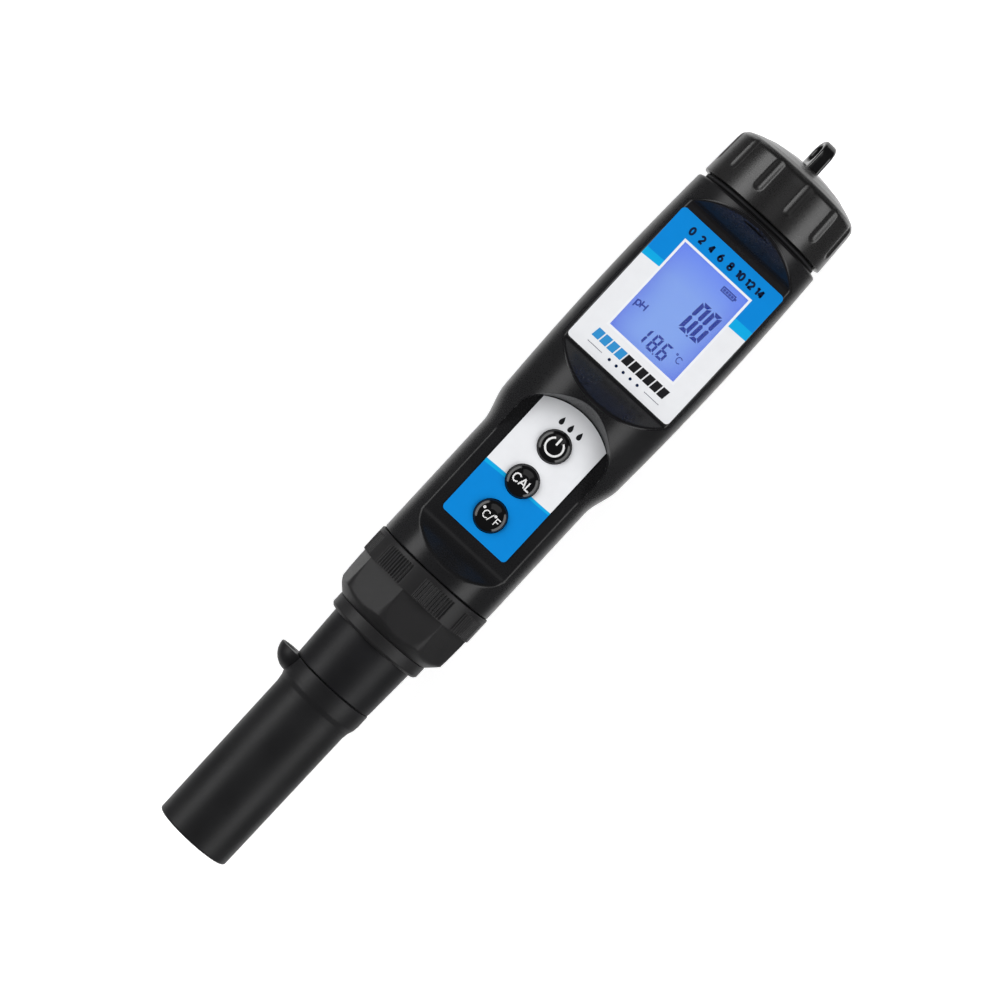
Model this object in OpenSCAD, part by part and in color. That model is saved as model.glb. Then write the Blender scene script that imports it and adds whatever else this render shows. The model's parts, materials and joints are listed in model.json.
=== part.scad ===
// Handheld waterproof pH meter with a screw-on electrode module.
//
// Every piece is drawn upright: X runs across the display, Y from front to back and
// Z along the pen, from the closed end of the storage cap to the lanyard loop.
// laid() then lays the pen on its back, display up, which is the part's own frame.

/* [Lengths along the pen] */
// Storage cap over the electrode
storage_cap_len = 46.6; // [45:0.1:50]
// Electrode tube left bare above the storage cap
bare_tube_len = 13.3; // [12:0.1:18]
// Retaining ring under the collar
ring_len = 3.4; // [3:0.1:4.5]
// Screw collar
collar_len = 17.4; // [17:0.1:19]
// Moulded housing, from the collar to the groove under the battery cap
housing_len = 105.5; // [105:0.1:108]
// Open groove between the housing and the battery cap
cap_gap = 1.5; // [1.4:0.1:2]
// Fluted side of the battery cap
cap_side_len = 11.5; // [11:0.1:13]
// Domed top of the battery cap
cap_dome_len = 4.4; // [4:0.1:6]
// Lanyard loop above the dome
loop_rise = 7.2; // [6.8:0.1:9]

/* [Radii] */
// Head of the housing at its widest
head_r = 18.05; // [18:0.05:18.2]
// Grip of the housing, round the keypad
grip_r = 15.43; // [15.3:0.01:15.8]
// Battery cap at its open rim
cap_rim_r = 17.1; // [17:0.05:17.15]
// Ribbed band of the collar
collar_r = 15.76; // [15.6:0.02:16.2]
// Retaining ring
ring_r = 12.6; // [12.4:0.1:13]
// Electrode tube next to the retaining ring
tube_r = 11.05; // [10.9:0.05:11.2]
// Storage cap wall near its closed end
storage_r = 9.65; // [9.6:0.05:9.9]
// Storage cap rim
storage_rim_r = 10.7; // [10.6:0.05:10.9]

/* [Flat front and back] */
// Distance of the flat display and keypad plane in front of the axis
front_plane = 9.3; // [9.2:0.1:9.6]
// Distance of the narrow resting flat behind the axis
rest_plane = 17.2; // [17.15:0.05:17.4]
// Steepness of the display scoop's upper end, in degrees from the axis
display_top_angle = 57.4; // [57:0.2:59]
// Steepness of the display scoop's lower end
display_low_angle = 52.4; // [51:0.2:55]
// Steepness of the keypad scoop's lower end
keypad_low_angle = 50.8; // [50:0.2:53]

/* [Display] */
// Width of the display opening
lcd_w = 19.04; // [18.8:0.02:20.4]
// Height of the display opening
lcd_h = 24.5; // [24:0.1:25.4]
// Width of the printed display overlay
display_label_w = 30.2; // [29:0.02:30.2]

/* [Keys and cells] */
// Diameter of the three buttons
button_d = 7.6; // [7.2:0.1:7.8]
// Distance between neighbouring buttons
button_pitch = 10.4; // [10:0.1:10.6]
// Diameter of one cell
cell_d = 10.5; // [10.1:0.1:10.5]
// Length of one cell with its nub
cell_len = 44.5; // [43.5:0.1:44.5]
// Number of flutes round the battery cap
flute_count = 12; // [9:1:14]

/* [Hidden] */
$fn = 72;

// Heights of the joints between the big pieces
z_tube = storage_cap_len;
z_ring = z_tube + bare_tube_len;
z_collar = z_ring + ring_len;
z_housing = z_collar + collar_len;
z_neck = z_housing + housing_len;
z_cap = z_neck + cap_gap;
z_dome = z_cap + cap_side_len;
z_crown = z_dome + cap_dome_len;
z_end = z_crown + loop_rise;

// Housing outside: grip, eased shoulder, gently barrelled head
z_shoulder = z_housing + 32.2;
shoulder_len = 9.4;
z_head = z_shoulder + shoulder_len;
z_belly = (z_head + z_neck) / 2;
belly_drop = 0.68;
shoulder_steps = 6;
belly_steps = 8;
edge_chamfer = 0.4;

// Rubber foot across the back of the shoulder
foot_w = 14;
foot_len = 5;
z_foot = z_housing + 33.3;

// Housing inside
wall = 1.6;
bezel_t = 1.2;
bezel_end_t = 0.4;
bezel_wall = 1.0;
grip_bore_r = 13.7;
head_bore_r = 16.1;
mouth_r = 14.0;
z_shelf = z_housing + 2.3;
z_step = z_neck - 2.2;
z_mouth = z_neck - 0.8;
scoop_reach = 25;

// Threads: plain rings at the pitch of the real screw
pitch = 2.5;
crest_h = 1.1;
neck_seat_r = 16.1;
neck_seat_len = 0.3;
cap_cord_r = 0.5;
neck_root_r = 15.0;
neck_crest_r = 15.65;
neck_len = 9.3;
spigot_root_r = 12.2;
spigot_crest_r = 12.85;
spigot_bore_r = 10.9;
spigot_len = 9.7;
thread_gap = 0.1;

// Display scoop and what fills it
z_display_low = z_housing + 58.5;
z_display_top = z_neck - 6.2;
z_lcd = z_housing + 79.4;
lens_margin = 1.0;
label_t = 0.2;
display_label_low = z_housing + 59.05;
display_label_h = 38.35;
label_corner_r = 1;
lcd_ledge = [22.6, 30.4];
lcd_front = 8.0;
lcd_step = 7.0;
lcd_back = 6.2;
backlight_size = [20.6, 25.6];
frame_wall = 0.6;
zebra_w = 20;
zebra_len = 1.8;

// Keypad scoop, overlay and buttons
z_keypad_low = z_housing + 8.1;
keypad_half_w = 12.4;
keypad_arch_h = 8.4;
z_keypad_arch = z_housing + 40.2;
keypad_label_w = 18.8;
keypad_label_low = z_housing + 12.15;
keypad_label_side = z_housing + 45.55;
keypad_label_top = z_housing + 48.45;
z_power = z_housing + 38.8;
button_r = button_d / 2;
button_hole_r = button_r + 0.2;
button_flange_r = 4.5;
button_wall = wall;
button_rise = 1.3;
seal_size = [17.2, 33.4];
seal_low = z_housing + 11.7;
seal_front = 6.3;
seal_back = 5.8;

// Circuit board, chassis and cells
board_front = 4.85;
board_back = 3.85;
board_head_w = 24;
board_grip_w = 21;
board_low = z_housing + 9.2;
board_step = z_housing + 46;
board_top = z_neck - 4.2;
screw_spots = [[0, z_neck - 7], [-9.5, z_housing + 47.8], [9.5, z_housing + 47.8]];
screw_r = 0.8;
chassis_r = 13.4;
chassis_front = 3.75;
rail_low = z_housing + 11.5;
cell_r = cell_d / 2;
cell_ring_r = 8.62;
cell_angles = [-80, 0, 80];
z_cells = z_neck - 0.2 - cell_len;
well_r = cell_r + 0.1;
z_deck = z_cells - 3.7;

// Contact carrier, which the cap turns round
z_carrier = z_neck + 4.4;
carrier_r = 13.6;
carrier_t = 1.4;
hub_r = 3.0;
hub_len = 6.3;
hub_clearance = 0.05;

// Lanyard loop
loop_t = 3.2;
loop_hole_r = 2.2;
loop_wall = 1.7;
loop_turn = 10;
loop_root = 2.4;
z_loop = z_end - loop_hole_r - loop_wall;

// Electrode module
lip_t = 2.3;
neck_tube_r = 10.7;
module_flange_r = 12.8;
module_flange_len = 4.4;
z_flange = z_collar + lip_t + 0.1;
z_nose = z_flange + module_flange_len;
nose_r = 10.6;
z_nose_top = z_housing - 1.7;
stem_bore_r = 3.3;
sleeve_r = 8.2;
z_sleeve = 30;
guard_r = 7.9;
guard_bore_r = 6.6;
z_guard = 12;
slot_w = 3.4;
cord_section_r = 0.55;
bulb_r = 3.8;
z_bulb = 20.5;
z_bulb_mouth = 23;
sensor_ring_r = 5.0;
junction_r = 1.3;
temperature_r = 1.0;
pin_count = 5;
pin_ring_r = 3.6;
pin_r = 0.45;
pin_hole_r = 0.6;

// Storage cap
storage_bore_r = 8.55;
storage_floor = 2;
tab_r = 4.9;
tab_reach = 15.1;
sponge_r = 8.4;
sponge_h = 5;

// ---------- shared shapes ----------

// Lays an upright drawing on its back, with the middle of its length at the origin
module laid() translate([0, -z_end / 2, rest_plane]) rotate([-90, 0, 0]) children();

module lathe(outline) rotate_extrude() polygon(outline);

module tube(r_out, r_in, z0, z1) {
  difference() {
    translate([0, 0, z0]) cylinder(r = r_out, h = z1 - z0);
    translate([0, 0, z0 - 1]) cylinder(r = r_in, h = z1 - z0 + 2);
  }
}

module disc(r, z0, z1) translate([0, 0, z0]) cylinder(r = r, h = z1 - z0);

module torus(ring_radius, section_r, z) {
  translate([0, 0, z]) rotate_extrude() translate([ring_radius, 0]) circle(r = section_r, $fn = 32);
}

// A slab facing the front, between two distances in front of the axis
module slab(w, z0, z1, back, front) {
  translate([-w / 2, -front, z0]) cube([w, front - back, z1 - z0]);
}

// A round piece whose axis runs to the front; its height counts from the pen's axis
module facing(x, z) translate([x, 0, z]) rotate([90, 0, 0]) children();

// An outline in (z, y), drawn out sideways
module side_prism(outline, half_w) {
  rotate([0, -90, 0]) translate([0, 0, -half_w]) linear_extrude(2 * half_w) polygon(outline);
}

// A plate with rounded corners that faces the front
module front_plate(w, z0, h, corner, back, front) {
  facing(0, z0 + h / 2) translate([0, 0, back]) linear_extrude(front - back)
    union() {
      square([w - 2 * corner, h], center = true);
      square([w, h - 2 * corner], center = true);
      for (sx = [-1, 1], sz = [-1, 1])
        translate([sx * (w / 2 - corner), sz * (h / 2 - corner)]) circle(r = corner, $fn = 24);
    }
}

// ---------- housing surfaces ----------

function ease(t) = t * t * (3 - 2 * t);
function barrel_r(z) = head_r - belly_drop * pow((z - z_belly) / (z_neck - z_belly), 2);

shoulder_line = [
  for (i = [0:shoulder_steps])
    [grip_r + (barrel_r(z_head) - grip_r) * ease(i / shoulder_steps),
     z_shoulder + shoulder_len * i / shoulder_steps]
];
belly_line = [
  for (i = [1:belly_steps])
    let (z = z_head + (z_neck - edge_chamfer - z_head) * i / belly_steps)
      [barrel_r(z), z]
];

module housing_envelope() {
  lathe(concat(
    [[0, z_housing], [grip_r - edge_chamfer, z_housing], [grip_r, z_housing + edge_chamfer]],
    shoulder_line,
    belly_line,
    [[barrel_r(z_neck) - edge_chamfer, z_neck], [0, z_neck]]));
}

// How far the corner moves when a scoop's floor is set back by t and its end by end_t
function corner_shift(angle, t, end_t) = (end_t - t * cos(angle)) / sin(angle);

// Scoop seen from the side: floor between z0 and z1, ends rising at angle a0 and a1
function scoop(z0, a0, z1, a1, t, end_t) =
  let (low = z0 - corner_shift(a0, t, end_t), top = z1 + corner_shift(a1, t, end_t)) [
    [low - scoop_reach * cos(a0), t - front_plane - scoop_reach * sin(a0)],
    [low, t - front_plane],
    [top, t - front_plane],
    [top + scoop_reach * cos(a1), t - front_plane - scoop_reach * sin(a1)]
  ];

module display_scoop(t, end_t) {
  side_prism(scoop(z_display_low, display_low_angle, z_display_top, display_top_angle,
    t, end_t), 20);
}

// The keypad scoop ends upwards in half an ellipse
module keypad_scoop() {
  arch = [for (a = [0:10:180]) [keypad_half_w * cos(a), keypad_arch_h * sin(a)]];
  intersection() {
    side_prism(scoop(z_keypad_low, keypad_low_angle, z_keypad_arch + 40, 89, 0, 0), 20);
    facing(0, z_keypad_arch) translate([0, 0, -1]) linear_extrude(30)
      polygon(concat(arch, [[-keypad_half_w, -50], [keypad_half_w, -50]]));
  }
}

// Hollow of the housing, kept clear of both scoops
module housing_hollow() {
  grip_front = front_plane - wall;
  head_front = front_plane - bezel_t - bezel_wall;
  z0 = z_keypad_low - corner_shift(keypad_low_angle, wall, wall);
  z1 = z_display_top
    + corner_shift(display_top_angle, bezel_t + bezel_wall, bezel_end_t + bezel_wall);
  intersection() {
    lathe([
      [0, z_shelf], [grip_bore_r, z_shelf], [grip_bore_r, z_shoulder],
      [head_bore_r, z_head], [head_bore_r, z_step], [mouth_r, z_mouth],
      [mouth_r, z_neck + neck_len + 1], [0, z_neck + neck_len + 1]]);
    side_prism([
      [z0 - 30 * cos(keypad_low_angle), 30],
      [z0 - 30 * cos(keypad_low_angle), -grip_front - 30 * sin(keypad_low_angle)],
      [z0, -grip_front], [z_display_low - 5, -grip_front], [z_display_low - 5, -head_front],
      [z1, -head_front],
      [z1 + 30 * cos(display_top_angle), -head_front - 30 * sin(display_top_angle)],
      [z1 + 30 * cos(display_top_angle), 30]], 20);
  }
}

module neck() {
  tube(neck_seat_r, mouth_r - 1, z_neck - 1, z_neck + neck_seat_len);
  tube(neck_root_r, mouth_r - 1, z_neck, z_neck + neck_len);
  for (i = [0:2])
    tube(neck_crest_r, mouth_r - 1, z_neck + 3 + i * pitch, z_neck + 3 + i * pitch + crest_h);
}

module spigot() {
  tube(spigot_root_r, spigot_bore_r - 1, z_housing - spigot_len, z_housing + 1);
  for (i = [0:2])
    tube(spigot_crest_r, spigot_bore_r - 1,
      z_housing - 8.8 + i * pitch, z_housing - 8.8 + i * pitch + crest_h);
}

module housing() {
  color("#1d1d1f") laid() difference() {
    union() {
      housing_envelope();
      neck();
      spigot();
    }
    display_scoop(bezel_t, bezel_end_t);
    keypad_scoop();
    housing_hollow();
    disc(spigot_bore_r, z_housing - spigot_len - 1, z_shelf + 1);
    slab(lcd_w + 0.6, z_lcd - lcd_h / 2 - 0.3, z_lcd + lcd_h / 2 + 0.3, 6, 12);
    for (i = [0:2])
      facing(0, z_power - i * button_pitch) cylinder(r = button_hole_r, h = 20);
    translate([-10, rest_plane, z_head - 8]) cube([20, 5, 80]);
  }
}

// Foot stuck to the housing, level with the resting flat
module rest_foot() {
  color("#2c2c2e") laid() difference() {
    translate([-foot_w / 2, 10, z_foot]) cube([foot_w, rest_plane - 10, foot_len]);
    housing_envelope();
  }
}

// ---------- display ----------

module display_bezel() {
  color("#101014") laid() difference() {
    intersection() {
      housing_envelope();
      display_scoop(bezel_t, bezel_end_t);
    }
    display_scoop(0, 0);
    slab(lcd_w + 2 * lens_margin, z_lcd - lcd_h / 2 - lens_margin,
      z_lcd + lcd_h / 2 + lens_margin, 6, 12);
  }
}

module lcd_window() {
  color("#aab4d8") laid()
    slab(lcd_w + 2 * lens_margin, z_lcd - lcd_h / 2 - lens_margin,
      z_lcd + lcd_h / 2 + lens_margin, front_plane - bezel_t, front_plane);
}

module display_label() {
  color("#2f9fe0") laid() difference() {
    front_plate(display_label_w, display_label_low, display_label_h, label_corner_r,
      front_plane, front_plane + label_t);
    slab(lcd_w, z_lcd - lcd_h / 2, z_lcd + lcd_h / 2, front_plane - 1, front_plane + 1);
  }
}

module lcd_glass() {
  color("#8f93dc") laid() union() {
    slab(lcd_w, z_lcd - lcd_h / 2, z_lcd + lcd_h / 2, lcd_step, lcd_front);
    slab(lcd_ledge[0], z_lcd - lcd_ledge[1] / 2, z_lcd + lcd_ledge[1] / 2, lcd_back, lcd_step);
  }
}

module lcd_frame() {
  inner = [lcd_ledge[0] + 0.1, lcd_ledge[1] + 0.1];
  color("#e6e6e2") laid() difference() {
    slab(inner[0] + 2 * frame_wall, z_lcd - inner[1] / 2 - frame_wall,
      z_lcd + inner[1] / 2 + frame_wall, board_front, lcd_step);
    slab(inner[0], z_lcd - inner[1] / 2, z_lcd + inner[1] / 2, board_front - 1, lcd_step + 1);
  }
}

module backlight() {
  color("#dfe4ff") laid()
    slab(backlight_size[0], z_lcd - backlight_size[1] / 2, z_lcd + backlight_size[1] / 2,
      board_front, lcd_back);
}

module zebra_strip() {
  z_strip = z_lcd + backlight_size[1] / 2 + 0.3;
  color("#c98f9a") laid() slab(zebra_w, z_strip, z_strip + zebra_len, board_front, lcd_back);
}

// ---------- electronics ----------

module main_board() {
  color("#1f6b3a") laid() difference() {
    union() {
      slab(board_grip_w, board_low, board_step + 1, board_back, board_front);
      slab(board_head_w, board_step, board_top, board_back, board_front);
    }
    for (spot = screw_spots)
      facing(spot[0], spot[1]) cylinder(r = screw_r + 0.2, h = 10, $fn = 24);
  }
}

module microcontroller() {
  color("#2b2b2e") laid() slab(9, z_housing + 27, z_housing + 36, board_back - 1.2, board_back);
}

module input_amplifier() {
  color("#2b2b2e") laid() slab(5, z_housing + 15, z_housing + 19, board_back - 1.5, board_back);
}

module key_switches() {
  color("#b9bcc2") laid() for (i = [0:2]) {
    z = z_power - i * button_pitch;
    slab(4.6, z - 2.3, z + 2.3, board_front, board_front + 0.65);
    facing(0, z) translate([0, 0, board_front + 0.6]) cylinder(r = 1.2, h = 0.25);
  }
}

module keypad_seal() {
  rim = 1.2;
  front = front_plane - button_wall;
  color("#55585c") laid() difference() {
    slab(seal_size[0], seal_low, seal_low + seal_size[1], seal_back, front);
    slab(seal_size[0] - 2 * rim, seal_low + rim, seal_low + seal_size[1] - rim,
      seal_front, front + 1);
  }
}

module board_screws() {
  color("#c8c8c8") laid() for (spot = screw_spots) facing(spot[0], spot[1]) {
    translate([0, 0, board_front]) cylinder(r = 1.8, h = 0.9, $fn = 24);
    translate([0, 0, board_front - 5.5]) cylinder(r = screw_r, h = 5.8, $fn = 24);
  }
}

module connector_board() {
  color("#1f6b3a") laid() difference() {
    disc(12, z_shelf, z_shelf + 1.2);
    for (i = [0:pin_count - 1]) rotate(i * 360 / pin_count)
      translate([pin_ring_r, 0, z_shelf - 1]) cylinder(r = pin_hole_r, h = 3, $fn = 24);
  }
}

module probe_socket() {
  color("#e8e3d0") laid() difference() {
    disc(6.4, z_shelf - 2.2, z_shelf);
    for (i = [0:pin_count - 1]) rotate(i * 360 / pin_count)
      translate([pin_ring_r, 0, z_shelf - 3]) cylinder(r = pin_hole_r, h = 4, $fn = 24);
  }
}

// Flat lead from the connector board up to the foot of the main board
module sensor_ribbon() {
  z0 = z_shelf + 1.2;
  lead_t = 0.3;
  z1 = board_low + 1.6;
  color("#d8a13a") laid() side_prism([
    [z0, -1], [z0 + 3.8, -1], [z1, lead_t - board_back], [z1 + 2, lead_t - board_back],
    [z1 + 2, -board_back], [z1 - 0.1, -board_back], [z0 + 3.7, -1 - lead_t], [z0, -1 - lead_t]], 4);
}

// ---------- chassis and cells ----------

module at_cells() {
  for (a = cell_angles)
    translate([cell_ring_r * sin(a), cell_ring_r * cos(a), 0]) children();
}

module chassis() {
  z_top = z_neck - 1.2;
  plate_t = 2;
  color("#3a3d42") laid() difference() {
    union() {
      intersection() {
        disc(chassis_r, z_deck, z_top - 0.5);
        translate([-20, -chassis_front, 0]) cube([40, 40, z_end]);
      }
      intersection() {
        disc(mouth_r - 0.3, z_top - plate_t, z_top);
        translate([-20, -chassis_front, 0]) cube([40, 40, z_end]);
      }
      for (side = [-1, 1])
        translate([side * 9.5 - 1.5, -chassis_front, rail_low]) cube([3, 4, z_deck - rail_low + 1]);
      for (side = [-1, 1]) translate([side * 14.3 - 0.9, -2, z_top - 1.6]) cube([1.8, 4, 1.0]);
    }
    translate([0, 0, z_cells - 2.5]) at_cells() cylinder(r = well_r, h = cell_len + 10);
    for (spot = screw_spots)
      facing(spot[0], spot[1]) translate([0, 0, -3]) cylinder(r = screw_r + 0.02, h = 10, $fn = 24);
    translate([0, 0, z_deck - 1]) rotate(50) translate([chassis_r - 0.9, -3, 0]) cube([4, 6, 60]);
  }
}

// One cell: can, insulating ring and nub; flipped cells stand nub down
module cell(angle, flipped) {
  nub_h = 1.1;
  can_len = cell_len - nub_h;
  translate([cell_ring_r * sin(angle), cell_ring_r * cos(angle), z_cells])
    translate([0, 0, flipped ? cell_len : 0]) mirror([0, 0, flipped ? 1 : 0]) lathe([
      [0, 0], [cell_r - 0.4, 0], [cell_r, 0.4], [cell_r, can_len - 0.4],
      [cell_r - 0.4, can_len], [1.9, can_len], [1.9, cell_len], [0, cell_len]]);
}

module battery_1() color("#b8893c") laid() cell(cell_angles[0], false);
module battery_2() color("#b8893c") laid() cell(cell_angles[1], true);
module battery_3() color("#b8893c") laid() cell(cell_angles[2], false);

module lower_contacts() {
  z_plate = z_cells - 2.5;
  color("#d7c27a") laid() at_cells() lathe([
    [0, z_plate], [4.4, z_plate], [4.4, z_plate + 0.4], [3.4, z_plate + 0.4],
    [1.6, z_cells], [0, z_cells]]);
}

// Flat strip that brings the top contact down to the board side of the wells
module battery_strip() {
  color("#d7c27a") laid() rotate(50)
    translate([chassis_r - 0.85, -2, z_deck + 1]) cube([0.4, 4, z_neck + 2 - z_deck]);
}

// ---------- battery cap ----------

module cap_oring() {
  color("#2c2c2e") laid()
    torus(neck_root_r + cap_cord_r, cap_cord_r, z_neck + neck_seat_len + cap_cord_r);
}

module contact_carrier() {
  color("#8d8f94") laid() union() {
    disc(carrier_r, z_carrier, z_carrier + carrier_t);
    disc(hub_r, z_carrier + 1, z_carrier + carrier_t + hub_len);
  }
}

// Conical contact springs, drawn as the cone that each coil fills
module contact_springs() {
  z_can = z_cells + cell_len;
  color("#d7c27a") laid() at_cells() lathe([
    [0, z_can], [1.5, z_can], [3.6, z_carrier - 0.5], [3.6, z_carrier], [0, z_carrier]]);
}

module battery_cap() {
  bore = neck_crest_r + thread_gap;
  z_bore = z_neck + neck_len + 1;
  hub_top = z_carrier + carrier_t + hub_len;
  flute_r = 1.4;
  flute_out = 0.62;
  flute_turn = 8.5;
  flute_lean = 2.1;
  color("#232325") laid() difference() {
    union() {
      difference() {
        lathe([
          [0, z_cap], [cap_rim_r, z_cap], [cap_rim_r - 0.4, z_dome - 1.5], [cap_rim_r - 0.6, z_dome],
          [cap_rim_r - 1.5, z_dome + 1.0], [cap_rim_r - 3.0, z_dome + 1.9], [10, z_dome + 3.4],
          [5.5, z_dome + 4.2], [0, z_crown]]);
        lathe([
          [0, z_cap - 1], [bore, z_cap - 1], [bore, z_bore], [14.2, z_bore + 0.5],
          [14.2, z_dome - 0.6], [8, z_dome + 1.4], [0, z_dome + 1.4]]);
      }
      disc(hub_r + 2, z_carrier + carrier_t + 0.6, z_dome + 2);
    }
    disc(hub_r + hub_clearance, z_carrier + carrier_t, hub_top + 0.3);
    for (i = [0:flute_count - 1]) rotate(i * 360 / flute_count - 90 + flute_turn)
      translate([cap_rim_r + flute_out, 0, z_cap + 3.6]) rotate([0, -flute_lean, 0])
        cylinder(r = flute_r, h = 20);
    loop_foot(0);
  }
}

// Foot of the lanyard loop, sunk into the dome
module loop_foot(extra) {
  w = 2 * (loop_hole_r + loop_wall);
  rotate(loop_turn) translate([-loop_t / 2, -w / 2, z_crown - loop_root])
    cube([loop_t, w, loop_root + extra]);
}

module lanyard_loop() {
  w = 2 * (loop_hole_r + loop_wall);
  color("#0c0c0e") laid() difference() {
    union() {
      loop_foot(z_loop - z_crown);
      rotate(loop_turn) translate([-loop_t / 2, 0, z_loop]) rotate([0, 90, 0])
        cylinder(r = w / 2, h = loop_t);
    }
    rotate(loop_turn) translate([-loop_t, 0, z_loop]) rotate([0, 90, 0])
      cylinder(r = loop_hole_r, h = 2 * loop_t);
  }
}

// ---------- collar ----------

module collar() {
  z_top = z_housing - 0.15;
  z_flats = z_collar + 2.7;
  z_band = z_collar + 10.7;
  bore = spigot_crest_r + thread_gap;
  flat_count = 8;
  flat_turn = 10.2;
  flat_depth = 1.35;
  rib_count = 9;
  rib_step = 3.6;
  color("#232325") laid() difference() {
    lathe([
      [neck_tube_r + 0.08, z_collar + 0.05], [ring_r, z_collar + 0.05], [collar_r - 0.5, z_flats],
      [collar_r - 0.1, z_band - 0.1], [collar_r, z_band], [collar_r, z_top - 0.4],
      [collar_r - 0.4, z_top], [bore, z_top], [bore, z_collar + lip_t],
      [neck_tube_r + 0.08, z_collar + lip_t]]);
    for (i = [0:flat_count - 1]) rotate(i * 360 / flat_count - 90 + flat_turn) {
      translate([collar_r - flat_depth, -8, z_collar + 1]) cube([4, 16, z_band - z_collar - 1]);
      for (j = [0:rib_count - 1]) rotate((j - (rib_count - 1) / 2) * rib_step)
        translate([collar_r - 0.25, -0.2, z_band + 0.2]) cube([1, 0.4, 5.2]);
    }
  }
}

// ---------- electrode module ----------

module probe_body() {
  groove_z = z_nose + 4.4;
  storage_groove_z = z_tube - 3.8;
  color("#202022") laid() difference() {
    lathe([
      [stem_bore_r, z_sleeve], [sleeve_r, z_sleeve],
      [sleeve_r, storage_groove_z - 0.8], [sleeve_r - 0.9, storage_groove_z - 0.8],
      [sleeve_r - 0.9, storage_groove_z + 0.8], [sleeve_r, storage_groove_z + 0.8],
      [sleeve_r, z_tube], [tube_r - 0.45, z_tube], [tube_r, z_ring], [neck_tube_r, z_ring],
      [neck_tube_r, z_flange], [module_flange_r, z_flange], [module_flange_r, z_nose],
      [nose_r, z_nose], [nose_r, groove_z - 0.8], [nose_r - 0.95, groove_z - 0.8],
      [nose_r - 0.95, groove_z + 0.8], [nose_r, groove_z + 0.8], [nose_r, z_nose_top - 0.5],
      [nose_r - 0.5, z_nose_top], [stem_bore_r, z_nose_top], [stem_bore_r, z_nose - 2],
      [9, z_nose - 4], [9, z_tube + 2], [stem_bore_r, z_tube]]);
    for (side = [-1, 1])
      translate([side * sensor_ring_r, 0, z_sleeve - 1])
        cylinder(r = side > 0 ? junction_r : temperature_r, h = 8, $fn = 24);
  }
}

module retaining_ring() {
  color("#232325") laid() lathe([
    [neck_tube_r, z_ring], [ring_r - 0.6, z_ring], [ring_r, z_ring + 0.6], [ring_r, z_collar - 0.3],
    [ring_r - 0.3, z_collar], [neck_tube_r, z_collar]]);
}

module collar_oring() color("#2c2c2e") laid() torus(11.6, 0.42, z_nose + 0.42);

module probe_oring() color("#2c2c2e") laid() torus(nose_r - 0.35, 0.6, z_nose + 4.4);

module storage_oring() color("#2c2c2e") laid() torus(sleeve_r - 0.3, cord_section_r, z_tube - 3.8);

module probe_plug() {
  color("#d9c98a") laid() {
    disc(6, z_nose_top, z_nose_top + 0.6);
    for (i = [0:pin_count - 1]) rotate(i * 360 / pin_count)
      translate([pin_ring_r, 0, z_nose_top + 0.5]) cylinder(r = pin_r, h = 3.4, $fn = 24);
  }
}

module glass_stem() {
  color("#c9dce0") laid() tube(stem_bore_r - 0.1, 2.4, z_bulb_mouth, z_nose_top - 2);
}

module ph_bulb() {
  color("#d6e6ea") laid() difference() {
    translate([0, 0, z_bulb]) sphere(r = bulb_r);
    translate([0, 0, z_bulb]) sphere(r = bulb_r - 0.5);
    disc(10, z_bulb_mouth, z_bulb + 5);
  }
}

module silver_wire() color("#dfe0e2") laid() disc(0.5, z_bulb - 1, z_nose_top);

module reference_junction() {
  color("#efe9dc") laid() translate([sensor_ring_r, 0, z_sleeve - 0.4])
    cylinder(r = junction_r, h = 7.4, $fn = 24);
}

module temperature_pin() {
  z_tip = z_bulb - 4;
  color("#c4c6c9") laid() translate([-sensor_ring_r, 0, z_tip])
    cylinder(r = temperature_r, h = z_sleeve + 7 - z_tip, $fn = 24);
}

module electrode_guard() {
  color("#202022") laid() difference() {
    tube(guard_r, guard_bore_r, z_guard, z_sleeve);
    for (a = [0, 90])
      rotate(a) translate([-10, -slot_w / 2, z_guard + 3]) cube([20, slot_w, z_sleeve - z_guard - 6]);
  }
}

// ---------- storage cap ----------

module storage_cap() {
  z_rim = z_tube - 0.12;
  color("#262628") laid() difference() {
    union() {
      lathe([
        [0, 0], [storage_r - 0.5, 0], [storage_r - 0.15, 0.15], [storage_r, 0.5],
        [storage_r + 0.15, z_rim - 7.2], [storage_r + 0.4, z_rim - 5.6],
        [storage_rim_r - 0.15, z_rim - 4.4], [storage_rim_r, z_rim - 3.4], [storage_rim_r, z_rim],
        [0, z_rim]]);
      intersection() {
        translate([tab_r - tab_reach, 0, z_rim]) sphere(r = tab_r);
        disc(20, z_rim - 10, z_rim);
      }
    }
    disc(storage_bore_r, storage_floor, z_rim + 1);
    translate([-storage_rim_r - 2.0, 0, z_rim + 2.4]) sphere(r = 3);
  }
}

module storage_sponge() {
  color("#e7dca0") laid() disc(sponge_r, storage_floor, storage_floor + sponge_h);
}

// ---------- buttons ----------

module button(z) {
  back = front_plane - button_wall - 0.1;
  front = front_plane + label_t;
  laid() facing(0, z) lathe([
    [0, back - 0.6], [button_flange_r, back - 0.6], [button_flange_r, back], [button_r, back],
    [button_r, front + 0.35], [button_r - 0.35, front + 0.75], [2.2, front + 1.15],
    [0, front + button_rise]]);
}

module power_button() color("#0f0f12") button(z_power);
module calibration_button() color("#0f0f12") button(z_power - button_pitch);
module unit_button() color("#0f0f12") button(z_power - 2 * button_pitch);

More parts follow.
